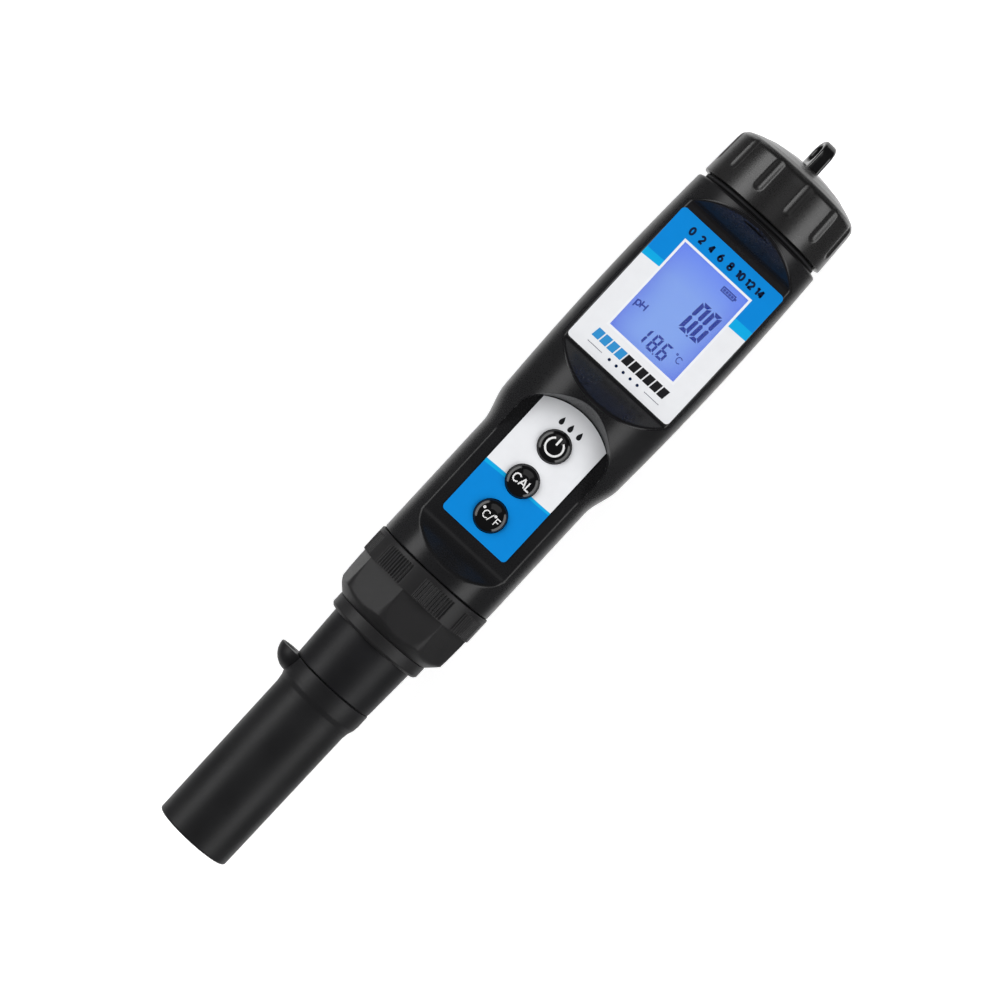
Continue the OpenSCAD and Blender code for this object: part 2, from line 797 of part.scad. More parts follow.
module keypad_label() {
  half = keypad_label_w / 2;
  rise = keypad_label_top - keypad_label_side;
  arch_r = (half * half + rise * rise) / (2 * rise);
  color("#e9eef2") laid() difference() {
    intersection() {
      front_plate(keypad_label_w, keypad_label_low, keypad_label_top - keypad_label_low,
        label_corner_r, front_plane, front_plane + label_t);
      union() {
        facing(0, keypad_label_top - arch_r) cylinder(r = arch_r, h = 20);
        slab(30, z_housing, keypad_label_top - arch_r, 0, 20);
      }
    }
    for (i = [0:2])
      facing(0, z_power - i * button_pitch) cylinder(r = button_r + 0.15, h = 20);
  }
}

housing();
display_bezel();
lcd_window();
display_label();
lcd_glass();
lcd_frame();
backlight();
zebra_strip();
main_board();
microcontroller();
input_amplifier();
key_switches();
keypad_seal();
keypad_label();
board_screws();
chassis();
battery_1();
battery_2();
battery_3();
lower_contacts();
battery_strip();
connector_board();
probe_socket();
sensor_ribbon();
cap_oring();
rest_foot();
power_button();
calibration_button();
unit_button();
contact_carrier();
contact_springs();
battery_cap();
lanyard_loop();
collar();
probe_body();
retaining_ring();
collar_oring();
probe_oring();
storage_oring();
probe_plug();
glass_stem();
ph_bulb();
silver_wire();
reference_junction();
temperature_pin();
electrode_guard();
storage_cap();
storage_sponge();
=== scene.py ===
"""Looks of a pen-type digital pH meter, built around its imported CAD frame."""

import json
import math

import bmesh
import bpy
import numpy as np
from mathutils import Matrix, Vector

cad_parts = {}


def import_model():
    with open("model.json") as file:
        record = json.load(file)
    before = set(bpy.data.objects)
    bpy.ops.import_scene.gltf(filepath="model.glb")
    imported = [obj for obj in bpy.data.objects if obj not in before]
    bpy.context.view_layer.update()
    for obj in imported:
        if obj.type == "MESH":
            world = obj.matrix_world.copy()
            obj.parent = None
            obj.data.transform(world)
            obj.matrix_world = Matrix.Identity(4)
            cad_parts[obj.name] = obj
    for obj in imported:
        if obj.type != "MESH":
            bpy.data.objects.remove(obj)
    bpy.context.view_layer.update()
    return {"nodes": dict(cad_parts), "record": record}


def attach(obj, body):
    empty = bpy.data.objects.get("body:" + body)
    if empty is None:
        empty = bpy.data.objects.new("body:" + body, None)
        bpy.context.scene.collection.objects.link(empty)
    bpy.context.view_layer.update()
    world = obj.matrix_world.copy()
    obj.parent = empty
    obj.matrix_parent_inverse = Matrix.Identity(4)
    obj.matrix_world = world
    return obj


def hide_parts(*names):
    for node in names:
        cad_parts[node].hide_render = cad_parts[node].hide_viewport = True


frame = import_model()

# Device coordinates, in mm: x to the right of the display, s along the pen from the closed
# end of the storage cap, h in front of the pen's axis.
MM = 0.001
S_MID = 105.4
AXIS_Z = 17.2

# Where each part starts along the pen
S_TUBE, S_RING, S_COLLAR, S_HOUSING = 46.6, 59.9, 63.3, 80.7
S_NECK, S_CAP, S_DOME, S_CROWN, S_LOOP = 186.2, 187.7, 199.2, 203.6, 206.9
S_SHOULDER, S_HEAD = 112.9, 122.3
GRIP_R, HEAD_R = 15.43, 18.05

# Heights of the scoops' floor in front of the axis and of the resting flat behind it
FRONT, REST = 9.3, AXIS_Z

# Ends of the display scoop's floor and the slope that rises from each
DISPLAY_LOW, DISPLAY_LOW_A = 139.2, math.radians(52.4)
DISPLAY_TOP, DISPLAY_TOP_A = 180.0, math.radians(57.4)

# The keypad scoop: its low ramp, then the half ellipse of its arch and the walls' slopes
KEYPAD_LOW, KEYPAD_LOW_A = 88.8, math.radians(50.8)
ARCH_S, ARCH_W, ARCH_H = 120.9, 12.4, 8.4
ARCH_SLOPE, SIDE_SLOPE = math.tan(math.radians(75)), math.tan(math.radians(86))

# Middle, width and height of the display's opening
LCD_S, LCD_W, LCD_H = 160.1, 19.04, 24.5
KEY_S = (119.5, 109.1, 98.7)
KEY_R, KEY_HOLE_R = 3.8, 4.6
LABEL_T = 0.2


# ---------- small tools ----------

def world(p):
    """Device points in mm to row-frame points in metres."""
    p = np.asarray(p, float)
    return np.stack([p[..., 0], p[..., 1] - S_MID, p[..., 2] + AXIS_Z], -1) * MM


def smin(a, b, k):
    """Lower of two heights, blended within k of where they cross."""
    h = np.maximum(k - np.abs(a - b), 0) / k
    return np.minimum(a, b) - h * h * k / 4


def smax(a, b, k):
    """Higher of two heights, blended the same way."""
    return -smin(-np.asarray(a, float), -np.asarray(b, float), k)


def spaced(a, b, n, power=1.0):
    """n steps from a to b, without b; power above 1 packs them near a, below 0 near b."""
    t = np.arange(n) / n
    t = t ** power if power > 0 else 1 - (1 - t) ** -power
    return a + (b - a) * t


def rounded(points):
    """An (r, s) outline whose corners are rounded where a third number gives the radius."""
    out = []
    for i, p in enumerate(points):
        if len(p) < 3 or i in (0, len(points) - 1):
            out.append(p[:2])
            continue
        a, b, c = (np.array(points[j][:2], float) for j in (i - 1, i, i + 1))
        u, v = (a - b) / np.linalg.norm(a - b), (c - b) / np.linalg.norm(c - b)
        half = math.acos(np.clip(u @ v, -1, 1)) / 2
        t = min(p[2] / math.tan(half), 0.45 * np.linalg.norm(a - b), 0.45 * np.linalg.norm(c - b))
        m = (u + v) / np.linalg.norm(u + v)
        centre, radius = b + m * t / math.cos(half), t * math.tan(half)
        lead = min(0.15, t * 0.4)
        out.append(tuple(b + u * (t + lead)))
        start, end = (b + u * t - centre) / radius, (b + v * t - centre) / radius
        turn = math.acos(np.clip(start @ end, -1, 1))
        for k in range(6):
            f = k / 5
            d = (math.sin((1 - f) * turn) * start + math.sin(f * turn) * end) / math.sin(turn)
            out.append(tuple(centre + d * radius))
        out.append(tuple(b + v * (t + lead)))
    return out


def grid_faces(rows, cols, wrap_rows=False, wrap_cols=False, start=0):
    """Quads between the points of a grid, whose first point has number start."""
    i = np.arange(rows if wrap_rows else rows - 1)
    j = np.arange(cols if wrap_cols else cols - 1)
    i, j = (a.ravel() for a in np.meshgrid(i, j, indexing="ij"))
    i2, j2 = (i + 1) % rows, (j + 1) % cols
    return np.stack([i * cols + j, i * cols + j2, i2 * cols + j2, i2 * cols + j], -1) + start


def piece(name, body, material, parts, replaces=(), keep=None, sharp=38):
    """One object from grids of device points; parts holds (points, wrap_rows, wrap_cols)."""
    verts, faces, count = [], [], 0
    for points, wrap_rows, wrap_cols in parts:
        points = np.asarray(points, float)
        rows, cols = points.shape[:2]
        verts.append(points.reshape(-1, 3))
        faces.append(grid_faces(rows, cols, wrap_rows, wrap_cols, count))
        count += rows * cols
    verts, faces = np.concatenate(verts), np.concatenate(faces)
    if keep is not None:
        faces = faces[keep(verts[faces].mean(1))]
    return solid(name, body, material, verts, faces.tolist(), replaces, sharp)


def solid(name, body, material, verts, faces, replaces=(), sharp=38):
    """One smooth object from device points, with edges sharp above that many degrees."""
    mesh = bpy.data.meshes.new(name)
    mesh.from_pydata(world(verts).tolist(), [], faces)
    bm = bmesh.new()
    bm.from_mesh(mesh)
    bmesh.ops.remove_doubles(bm, verts=bm.verts, dist=3e-6)
    bmesh.ops.delete(bm, geom=[v for v in bm.verts if not v.link_faces], context="VERTS")
    bmesh.ops.recalc_face_normals(bm, faces=bm.faces)
    bm.to_mesh(mesh)
    bm.free()
    mesh.polygons.foreach_set("use_smooth", [True] * len(mesh.polygons))
    mesh.set_sharp_from_angle(angle=math.radians(sharp))
    obj = bpy.data.objects.new(name, mesh)
    bpy.context.scene.collection.objects.link(obj)
    obj.data.materials.append(material)
    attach(obj, body)
    if replaces:
        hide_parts(*replaces)
    return obj


def turned(outline, n=160, angle0=0.0):
    """Points of an (r, s) outline turned round the pen's axis."""
    r, s = (np.array([p[i] for p in outline])[:, None] for i in (0, 1))
    a = angle0 + np.arange(n) * 2 * math.pi / n
    return np.stack([r * np.sin(a), s + 0 * a, r * np.cos(a)], -1)


# ---------- materials ----------

class Look:
    """A Principled material with shorthand for its nodes."""

    def __init__(self, name, **sockets):
        self.mat = bpy.data.materials.new(name)
        self.mat.use_nodes = True
        self.tree = self.mat.node_tree
        self.bsdf = self.tree.nodes["Principled BSDF"]
        for key, value in sockets.items():
            self.bsdf.inputs[key.replace("_", " ")].default_value = value
        coord = self.tree.nodes.new("ShaderNodeTexCoord")
        self.coord = coord.outputs["Object"]

    def node(self, kind, props=None, **inputs):
        n = self.tree.nodes.new("ShaderNode" + kind)
        for key, value in (props or {}).items():
            setattr(n, key, value)
        for key, value in inputs.items():
            self.feed(n.inputs[int(key[1:]) if key[0] == "i" and key[1:].isdigit() else key], value)
        return n

    def feed(self, socket, value):
        if hasattr(value, "is_output"):
            self.tree.links.new(value, socket)
        else:
            socket.default_value = value

    def math(self, op, *values):
        n = self.node("Math", {"operation": op}, **{f"i{i}": v for i, v in enumerate(values)})
        return n.outputs[0]

    def noise(self, size_mm, detail=3.0, stretch=None):
        vector = self.coord
        if stretch:
            m = self.node("Mapping", None, Vector=vector, Scale=stretch)
            vector = m.outputs[0]
        n = self.node("TexNoise", None, Vector=vector, Scale=1000.0 / size_mm, Detail=detail)
        return n.outputs["Fac"]

    def ramp(self, value, low, high, out_low, out_high):
        n = self.node("MapRange", {"clamp": True}, Value=value)
        ends = {"From Min": low, "From Max": high, "To Min": out_low, "To Max": out_high}
        for key, v in ends.items():
            n.inputs[key].default_value = v
        return n.outputs[0]

    def mix(self, factor, a, b):
        n = self.node("Mix", {"data_type": "RGBA"})
        self.feed(n.inputs[0], factor)
        self.feed(n.inputs[6], a)
        self.feed(n.inputs[7], b)
        return n.outputs[2]

    def bump(self, height, strength, distance_mm):
        n = self.node("Bump", None, Height=height, Strength=strength, Distance=distance_mm * MM)
        self.tree.links.new(n.outputs[0], self.bsdf.inputs["Normal"])

    def set(self, socket, value):
        self.feed(self.bsdf.inputs[socket], value)


def rgba(r, g, b):
    return (r, g, b, 1.0)


def tinted(c, f):
    return rgba(*(min(1.0, x * f) for x in c[:3]))


def plastic(name, color, rough, grain_mm=0.35, grain=0.25, spread=0.14, shine=0.5):
    """Moulded plastic: fine spark-eroded grain, slow drift of tone and of gloss."""
    k = Look(name, Specular_IOR_Level=shine)
    drift = k.noise(9.0, 2.0)
    fine = k.noise(grain_mm, 4.0)
    tone = k.ramp(drift, 0.3, 0.7, 0, 1)
    k.set("Base Color", k.mix(tone, tinted(color, 1 - spread), tinted(color, 1 + spread)))
    speck = k.ramp(fine, 0.35, 0.65, -0.03, 0.03)
    slow = k.ramp(k.noise(22.0, 1.0), 0.3, 0.7, rough - 0.03, rough + 0.03)
    k.set("Roughness", k.math("ADD", slow, speck))
    k.bump(fine, grain, 0.02)
    return k.mat


M = {name: plastic(name, color, rough, **extra) for name, color, rough, extra in (
    ("satin_black", (0.0098, 0.0098, 0.0106), 0.29, dict(grain=0.25, shine=0.17)),
    ("grained_black", (0.0098, 0.0095, 0.0097), 0.28, dict(grain_mm=0.30, grain=0.50, shine=0.36)),
    ("tube_black", (0.0095, 0.0095, 0.0105), 0.42, dict(grain=0.2, shine=0.13)),
    ("collar_black", (0.0135, 0.0132, 0.0138), 0.46, dict(grain=0.45, shine=0.18)),
    # The neck's black is darker and nearly without shine: painted shade for the groove between the
    # battery cap and the housing
    ("neck_painted_shade", (0.0050, 0.0050, 0.0054), 0.50, dict(grain=0.2, shine=0.06)),
    ("cap_black", (0.0110, 0.0110, 0.0117), 0.43, dict(grain=0.30, shine=0.14)),
    ("gloss_black", (0.0050, 0.0050, 0.0056), 0.14, dict(grain_mm=0.6, grain=0.03, spread=0.1)),
    ("key_black", (0.0045, 0.0045, 0.0050), 0.12,
     dict(grain_mm=0.6, grain=0.02, spread=0.1, shine=0.3)),
    ("bezel_black", (0.0082, 0.0080, 0.0090), 0.24,
     dict(grain_mm=1.5, grain=0.01, spread=0.1, shine=0.23)),
    ("white_plastic", (0.78, 0.78, 0.75), 0.45, dict(grain=0.2, spread=0.03)),
    ("dark_plastic", (0.045, 0.05, 0.06), 0.5, dict(grain=0.35)),
    ("chip_black", (0.018, 0.018, 0.019), 0.55, dict(grain_mm=0.15, grain=0.4)),
    ("grey_rubber", (0.10, 0.11, 0.12), 0.65, dict(grain_mm=0.2, grain=0.3)),
    ("black_rubber", (0.012, 0.012, 0.013), 0.60, dict(grain_mm=0.2, grain=0.2, shine=0.15)),
    ("contact_rubber", (0.55, 0.30, 0.36), 0.6, dict(grain_mm=0.2, grain=0.2)),
)}


def metal(name, color, rough, stretch=(1, 0.05, 1)):
    """Metal with fine streaks, drawn out along the pen unless stretch is even."""
    k = Look(name, Metallic=1.0)
    streak = k.noise(0.25, 3.0, stretch)
    k.set("Base Color", k.mix(streak, tinted(color, 0.85), tinted(color, 1.1)))
    k.set("Roughness", k.ramp(streak, 0.3, 0.7, rough - 0.05, rough + 0.08))
    k.bump(streak, 0.15, 0.01)
    return k.mat


M["steel"] = metal("steel", (0.62, 0.62, 0.62), 0.28)
M["switch_metal"] = metal("switch_metal", (0.60, 0.61, 0.62), 0.32, (1, 1, 1))
M["contact_brass"] = metal("contact_brass", (0.78, 0.62, 0.30), 0.3, (1, 1, 1))


def circuit_board():
    """Green solder mask with fine parallel traces showing through it."""
    k = Look("circuit_board", Roughness=0.32)
    sep = k.node("SeparateXYZ", None, Vector=k.coord)
    wave = k.math("SINE", k.math("MULTIPLY", k.math("ADD", sep.outputs[0], k.math(
        "MULTIPLY", k.noise(9.0, 0.0), 0.004)), 2 * math.pi / 0.0011))
    trace = k.ramp(wave, 0.55, 0.75, 0, 1)
    k.set("Base Color", k.mix(trace, rgba(0.012, 0.13, 0.045), rgba(0.03, 0.22, 0.08)))
    k.bump(trace, 0.4, 0.03)
    return k.mat


def cell_jacket():
    """Printed jacket: copper-coloured band at the positive end over a dark wrap."""
    k = Look("cell_jacket", Metallic=0.6, Roughness=0.28)
    y = k.node("SeparateXYZ", None, Vector=k.coord).outputs[1]
    band = k.ramp(y, 0.068, 0.0682, 0, 1)
    wear = k.noise(2.0, 3.0)
    body = k.mix(wear, rgba(0.02, 0.021, 0.025), rgba(0.04, 0.04, 0.045))
    k.set("Base Color", k.mix(band, body, rgba(0.62, 0.33, 0.14)))
    k.bump(wear, 0.05, 0.02)
    return k.mat


def ribbon():
    """Amber film with parallel copper lanes."""
    k = Look("ribbon", Roughness=0.3)
    x = k.node("SeparateXYZ", None, Vector=k.coord).outputs[0]
    lane = k.ramp(k.math("SINE", k.math("MULTIPLY", x, 2 * math.pi / 0.001)), 0.0, 0.3, 0, 1)
    k.set("Base Color", k.mix(lane, rgba(0.60, 0.30, 0.03), rgba(0.72, 0.42, 0.12)))
    k.bump(lane, 0.3, 0.02)
    return k.mat


def glass(name, tint, rough):
    """Clear glass or plastic with faint smears."""
    k = Look(name, Transmission_Weight=1.0, IOR=1.46, Base_Color=tint, Specular_IOR_Level=0.2)
    smear = k.noise(6.0, 4.0)
    k.set("Roughness", k.ramp(smear, 0.4, 0.75, rough, rough + 0.02))
    k.bump(smear, 0.01, 0.02)
    return k.mat


def sponge():
    """Open-celled wet foam."""
    k = Look("sponge", Roughness=0.85, Sheen_Weight=0.3)
    cells = k.node("TexVoronoi", None, Vector=k.coord, Scale=1400.0).outputs["Distance"]
    wall = k.ramp(cells, 0.1, 0.6, 0, 1)
    k.set("Base Color", k.mix(wall, rgba(0.30, 0.24, 0.08), rgba(0.80, 0.70, 0.38)))
    k.bump(cells, 0.9, 0.3)
    return k.mat


def light_guide():
    """Lit diffuser behind the display."""
    k = Look("light_guide", Roughness=0.3, Emission_Strength=0.6)
    dots = k.noise(0.8, 1.0)
    tone = k.mix(dots, rgba(0.45, 0.55, 0.95), rgba(0.6, 0.7, 1.0))
    k.set("Base Color", tone)
    k.set("Emission Color", tone)
    return k.mat


BLUE = rgba(0.002, 0.235, 0.672)
CYAN = rgba(0.004, 0.390, 0.760)
WHITE = rgba(0.815, 0.825, 0.850)
LINE_WHITE = rgba(0.86, 0.87, 0.90)
# Half width of a printed edge's blur, in metres, and width of the line round the opening, in mm
EDGE_BLUR, LINE_W = 0.00005, 0.55


def band_edge(k, x, base, slope, waves):
    """Height along the pen, in metres, of a gently waved colour edge."""
    edge = k.math("ADD", k.math("MULTIPLY", x, slope), base)
    for amplitude, length, phase in waves:
        wave = k.math("SINE", k.math("ADD", k.math("MULTIPLY", x, 2 * math.pi / length), phase))
        edge = k.math("ADD", edge, k.math("MULTIPLY", wave, amplitude))
    return edge


def paper(k, color, rough, gain=0.03):
    """A printed film: faint print mottle, fine orange-peel gloss."""
    mottle = k.ramp(k.noise(3.0, 3.0), 0.3, 0.7, 1 - gain, 1.0)
    hsv = k.node("HueSaturation", None, Value=mottle, Color=color)
    k.bsdf.inputs["Specular IOR Level"].default_value = 0.12
    k.set("Base Color", hsv.outputs[0])
    peel = k.noise(0.5, 2.0)
    k.set("Roughness", k.ramp(peel, 0.3, 0.7, rough - 0.04, rough + 0.04))
    k.bump(peel, 0.06, 0.01)


def display_print():
    """Blue over white, a lighter sliver at the edge, a thin white line round the opening."""
    k = Look("display_print")
    sep = k.node("SeparateXYZ", None, Vector=k.coord)
    x, y = sep.outputs[0], sep.outputs[1]
    low = band_edge(k, x, (164.8 - S_MID) * MM, 0.040, ((0.00016, 0.034, 1.9),))
    high = band_edge(k, x, (166.9 - S_MID) * MM, 0.052, ((0.00022, 0.030, 0.4),))
    is_cyan = k.ramp(k.math("SUBTRACT", y, low), -EDGE_BLUR, EDGE_BLUR, 0, 1)
    is_blue = k.ramp(k.math("SUBTRACT", y, high), -EDGE_BLUR, EDGE_BLUR, 0, 1)
    tone = k.mix(is_blue, k.mix(is_cyan, WHITE, CYAN), BLUE)
    dx = k.math("SUBTRACT", k.math("ABSOLUTE", x), (LCD_W / 2 + LINE_W) * MM)
    off = k.math("ABSOLUTE", k.math("SUBTRACT", y, (LCD_S - S_MID) * MM))
    dy = k.math("SUBTRACT", off, (LCD_H / 2 + LINE_W) * MM)
    rim = k.ramp(k.math("MAXIMUM", dx, dy), -EDGE_BLUR, EDGE_BLUR, 1, 0)
    paper(k, k.mix(rim, tone, LINE_WHITE), 0.34)
    return k.mat


def keypad_print():
    """White over blue, with a lighter sliver between."""
    k = Look("keypad_print")
    sep = k.node("SeparateXYZ", None, Vector=k.coord)
    x, y = sep.outputs[0], sep.outputs[1]
    low = band_edge(k, x, (107.15 - S_MID) * MM, 0.044, ((0.00012, 0.020, 2.6),))
    high = band_edge(k, x, (107.95 - S_MID) * MM, 0.022, ((0.00012, 0.020, 2.6),))
    is_cyan = k.ramp(k.math("SUBTRACT", y, low), -EDGE_BLUR, EDGE_BLUR, 0, 1)
    is_white = k.ramp(k.math("SUBTRACT", y, high), -EDGE_BLUR, EDGE_BLUR, 0, 1)
    paper(k, k.mix(is_white, k.mix(is_cyan, BLUE, CYAN), WHITE), 0.40)
    return k.mat


LIT = 0.95


def display_glass():
    """Backlit liquid crystal display, bluer towards its edges."""
    k = Look("display_glass", Roughness=0.25, Specular_IOR_Level=0.2,
             Base_Color=rgba(0.01, 0.012, 0.03), Emission_Strength=LIT)
    sep = k.node("SeparateXYZ", None, Vector=k.coord)
    x = k.math("DIVIDE", sep.outputs[0], LCD_W / 2 * MM)
    y = k.math("SUBTRACT", sep.outputs[1], (LCD_S - S_MID) * MM)
    y = k.math("DIVIDE", y, LCD_H / 2 * MM)
    side = k.math("POWER", k.math("ABSOLUTE", x), 3.0)
    top = k.ramp(y, 0.35, 1.05, 0, 1)
    foot = k.math("POWER", k.math("ABSOLUTE", k.math("MINIMUM", y, 0.0)), 6.0)
    cloud = k.ramp(k.noise(9.0, 2.0), 0.3, 0.7, -0.07, 0.07)
    ends = k.math("ADD", k.math("MULTIPLY", foot, 0.45), cloud)
    edge = k.math("ADD", k.math("MULTIPLY", side, 0.85), ends)
    tone = k.mix(k.math("MINIMUM", k.math("MAXIMUM", edge, 0.0), 1.0),
                 rgba(0.215, 0.375, 0.860), rgba(0.125, 0.215, 0.800))
    tone = k.mix(k.math("MULTIPLY", top, 0.9), tone, rgba(0.105, 0.215, 0.900))
    k.set("Emission Color", tone)
    return k.mat


def ink(name, color, rough=0.4, glow=0.0):
    """Printing ink, or a lit segment where glow is given."""
    k = Look(name, Specular_IOR_Level=0.12, Base_Color=rgba(0, 0, 0))
    tone = k.mix(k.noise(0.8, 2.0), tinted(color, 0.94), tinted(color, 1.0))
    k.set("Roughness", k.ramp(k.noise(0.4, 2.0), 0.3, 0.7, rough - 0.05, rough + 0.05))
    if glow:
        k.set("Emission Color", tone)
        k.bsdf.inputs["Emission Strength"].default_value = glow
    else:
        k.set("Base Color", tone)
    return k.mat


M["circuit_board"] = circuit_board()
M["cell_jacket"] = cell_jacket()
M["ribbon"] = ribbon()
M["glass"] = glass("glass", rgba(0.86, 0.95, 0.96), 0.03)
M["clear_pane"] = glass("clear_pane", rgba(0.97, 0.98, 1.0), 0.03)
M["sponge"] = sponge()
M["light_guide"] = light_guide()
M["display_print"] = display_print()
M["keypad_print"] = keypad_print()
M["display_glass"] = display_glass()
INK_WHITE = ink("ink_white", (0.80, 0.80, 0.80))
INK_NAVY = ink("ink_navy", (0.004, 0.014, 0.052))
INK_BLACK = ink("ink_black", (0.012, 0.012, 0.014))
INK_SKY = ink("ink_sky", (0.035, 0.28, 0.62))
INK_SEGMENT = ink("ink_segment", (0.008, 0.033, 0.330), 0.3, LIT)

for row in frame["record"]["subparts"]:
    node = frame["nodes"][row["node"]]
    node.data.materials.clear()
    node.data.materials.append(M[row["material_slot"]])


# ---------- housing ----------

BARREL_S, BARREL_HALF, BARREL_DROP = 154.25, 31.95, 0.68


def barrel(s):
    """Radius of the head, which is a little slimmer at both ends."""
    return HEAD_R - BARREL_DROP * ((s - BARREL_S) / BARREL_HALF) ** 2


LOW_RIM, TOP_RIM = 0.45, 0.6


def envelope(s):
    """Outside radius of the housing, with both rims rounded."""
    s = np.asarray(s, float)
    t = np.clip((s - S_SHOULDER) / (S_HEAD - S_SHOULDER), 0, 1)
    shoulder = GRIP_R + (barrel(S_HEAD) - GRIP_R) * t * t * (3 - 2 * t)
    r = np.where(s < S_HEAD, shoulder, barrel(s))
    low = np.clip(LOW_RIM - (s - S_HOUSING), 0, LOW_RIM)
    top = np.clip(TOP_RIM - (S_NECK - s), 0, TOP_RIM)
    return (r - LOW_RIM + np.sqrt(LOW_RIM ** 2 - low ** 2)
            - TOP_RIM + np.sqrt(TOP_RIM ** 2 - top ** 2))


def display_h(s, floor_drop=0.0, end_drop=0.0, k=0.7):
    """Height of the display scoop's floor and ends, optionally sunk below the surface."""
    low = FRONT + (DISPLAY_LOW - s) * math.tan(DISPLAY_LOW_A) - end_drop / math.cos(DISPLAY_LOW_A)
    top = FRONT + (s - DISPLAY_TOP) * math.tan(DISPLAY_TOP_A) - end_drop / math.cos(DISPLAY_TOP_A)
    return smax(smax(FRONT - floor_drop, low, k), top, k)


RAMP_K = 2.2


def keypad_h(x, s, k=0.6):
    """Height of the keypad scoop: floor, low ramp and the steep wall round its arch."""
    low = FRONT + (KEYPAD_LOW - s) * math.tan(KEYPAD_LOW_A)
    v = np.maximum(s - ARCH_S, 0) / ARCH_H
    u = np.abs(x) / ARCH_W
    rho = np.sqrt(u * u + v * v) + 1e-9
    slope = np.sqrt((u / ARCH_W) ** 2 + (v / ARCH_H) ** 2) / rho
    steep = ARCH_SLOPE + (SIDE_SLOPE - ARCH_SLOPE) * (u / rho) ** 2
    wall = FRONT + (rho - 1) / np.maximum(slope, 1e-6) * steep
    return smax(smax(FRONT, low, RAMP_K), wall, k)


def crossing(height, s, r):
    """Half width at which a scoop of that height at (x, s) meets the envelope of radius r."""
    if height(0.0, s) >= r:
        return 0.0
    a, b = 0.0, r
    for _ in range(40):
        m = (a + b) / 2
        a, b = (m, b) if height(m, s) < math.sqrt(r * r - m * m) else (a, m)
    return (a + b) / 2


def find(f, a, b):
    """Root of f between a and b."""
    fa = f(a)
    for _ in range(50):
        m = (a + b) / 2
        if (f(m) > 0) == (fa > 0):
            a = m
        else:
            b = m
    return (a + b) / 2


SEAM_DROP = (1.2, 0.4)


def seam_h(s):
    """Height of the seam between bezel and housing, just under the scoop's edge."""
    return display_h(s, *SEAM_DROP, k=0.3)


APEX = {
    "keypad_low": find(lambda s: keypad_h(0, s) - envelope(s), 81.5, 90),
    "keypad_top": find(lambda s: keypad_h(0, s) - envelope(s), 128, 135),
    "seam_low": find(lambda s: seam_h(s) - envelope(s), 128, 137),
    "seam_top": find(lambda s: seam_h(s) - envelope(s), 180, 186.1),
}

# Distances from a ridge at which columns of points are packed, and the span that they fill
NEAR = np.array([0, 0.08, 0.18, 0.3, 0.45, 0.65, 0.9])
NEAR_SPAN = 2.5


def housing_half():
    """Right half of the moulded shell, from the front's middle to the back's middle."""
    rows = np.concatenate([
        spaced(S_HOUSING, S_HOUSING + 0.5, 7), spaced(S_HOUSING + 0.5, APEX["keypad_low"] - 0.5, 4),
        spaced(APEX["keypad_low"] - 0.5, APEX["keypad_low"], 6),
        spaced(APEX["keypad_low"], 91.5, 34, 2.0), spaced(91.5, 112.0, 20),
        spaced(112.0, ARCH_S, 30), spaced(ARCH_S, APEX["keypad_top"], 60, -1.8),
        spaced(APEX["keypad_top"], APEX["seam_low"], 6),
        spaced(APEX["seam_low"], 139.8, 34, 2.0), spaced(139.8, 178.9, 40),
        spaced(178.9, APEX["seam_top"], 34, -2.0), spaced(APEX["seam_top"], S_NECK - 0.6, 3),
        spaced(S_NECK - 0.6, S_NECK, 7), [S_NECK]])
    inner = 46
    out = []
    for s in rows:
        r = float(envelope(s))
        seam = float(seam_h(s))
        in_display = APEX["seam_low"] <= s <= APEX["seam_top"]
        if in_display:
            x0 = math.sqrt(max(r * r - seam * seam, 0.0))
            lip = [(x0 * 0.995, seam - 0.9)] * (inner - 2) + [(x0, seam - 0.35), (x0, seam)]
            x, h = (np.array([p[i] for p in lip]) for i in (0, 1))
        else:
            x0 = crossing(lambda u, v: float(keypad_h(u, v)), s, r)
            near = NEAR[::-1] * min(1, x0 / NEAR_SPAN)
            far = np.linspace(0, x0 - near[0], inner - len(near) + 1)[:-1]
            x = np.concatenate([far, x0 - near])
            h = keypad_h(x, s)
        start = math.atan2(x0, math.sqrt(max(r * r - x0 * x0, 1e-9)))
        round_from = start + NEAR[-1] / r
        a = np.concatenate([start + NEAR[1:] / r, round_from
                            + (math.pi - round_from) * (np.linspace(0, 1, 60)[1:] ** 1.15)])
        ox, oh = r * np.sin(a), r * np.cos(a)
        x, h = np.concatenate([x, ox]), np.concatenate([h, oh])
        full = np.sqrt(np.maximum(r * r - x * x, 0))
        front = (h > 0) & ~np.full(len(h), in_display)
        cut = keypad_h(x, s)
        h = np.where(front, smin(np.where(np.arange(len(h)) < inner, full, h), cut, 0.7), h)
        h = smax(h, -REST, 0.12)
        h[-1] = max(h[-1], -REST)
        out.append(np.stack([x, np.full(len(x), s), np.maximum(h, -REST)], -1))
    return np.array(out)


def mirrored(p):
    """Left half of a right half's points."""
    return p * np.array([-1.0, 1.0, 1.0])


def housing_keep(c):
    """Leaves out the floor behind the keypad label round each button."""
    gone = np.zeros(len(c), bool)
    on_front = np.abs(c[:, 2] - FRONT) < 0.05
    for s in KEY_S:
        gone |= on_front & (c[:, 0] ** 2 + (c[:, 1] - s) ** 2 < KEY_HOLE_R ** 2)
    return ~gone


half = housing_half()
piece("housing_shell", "housing", M["satin_black"],
      [(half, False, False), (mirrored(half), False, False)], ["housing"], housing_keep)

PITCH, THREAD_DEPTH = 2.5, 0.62


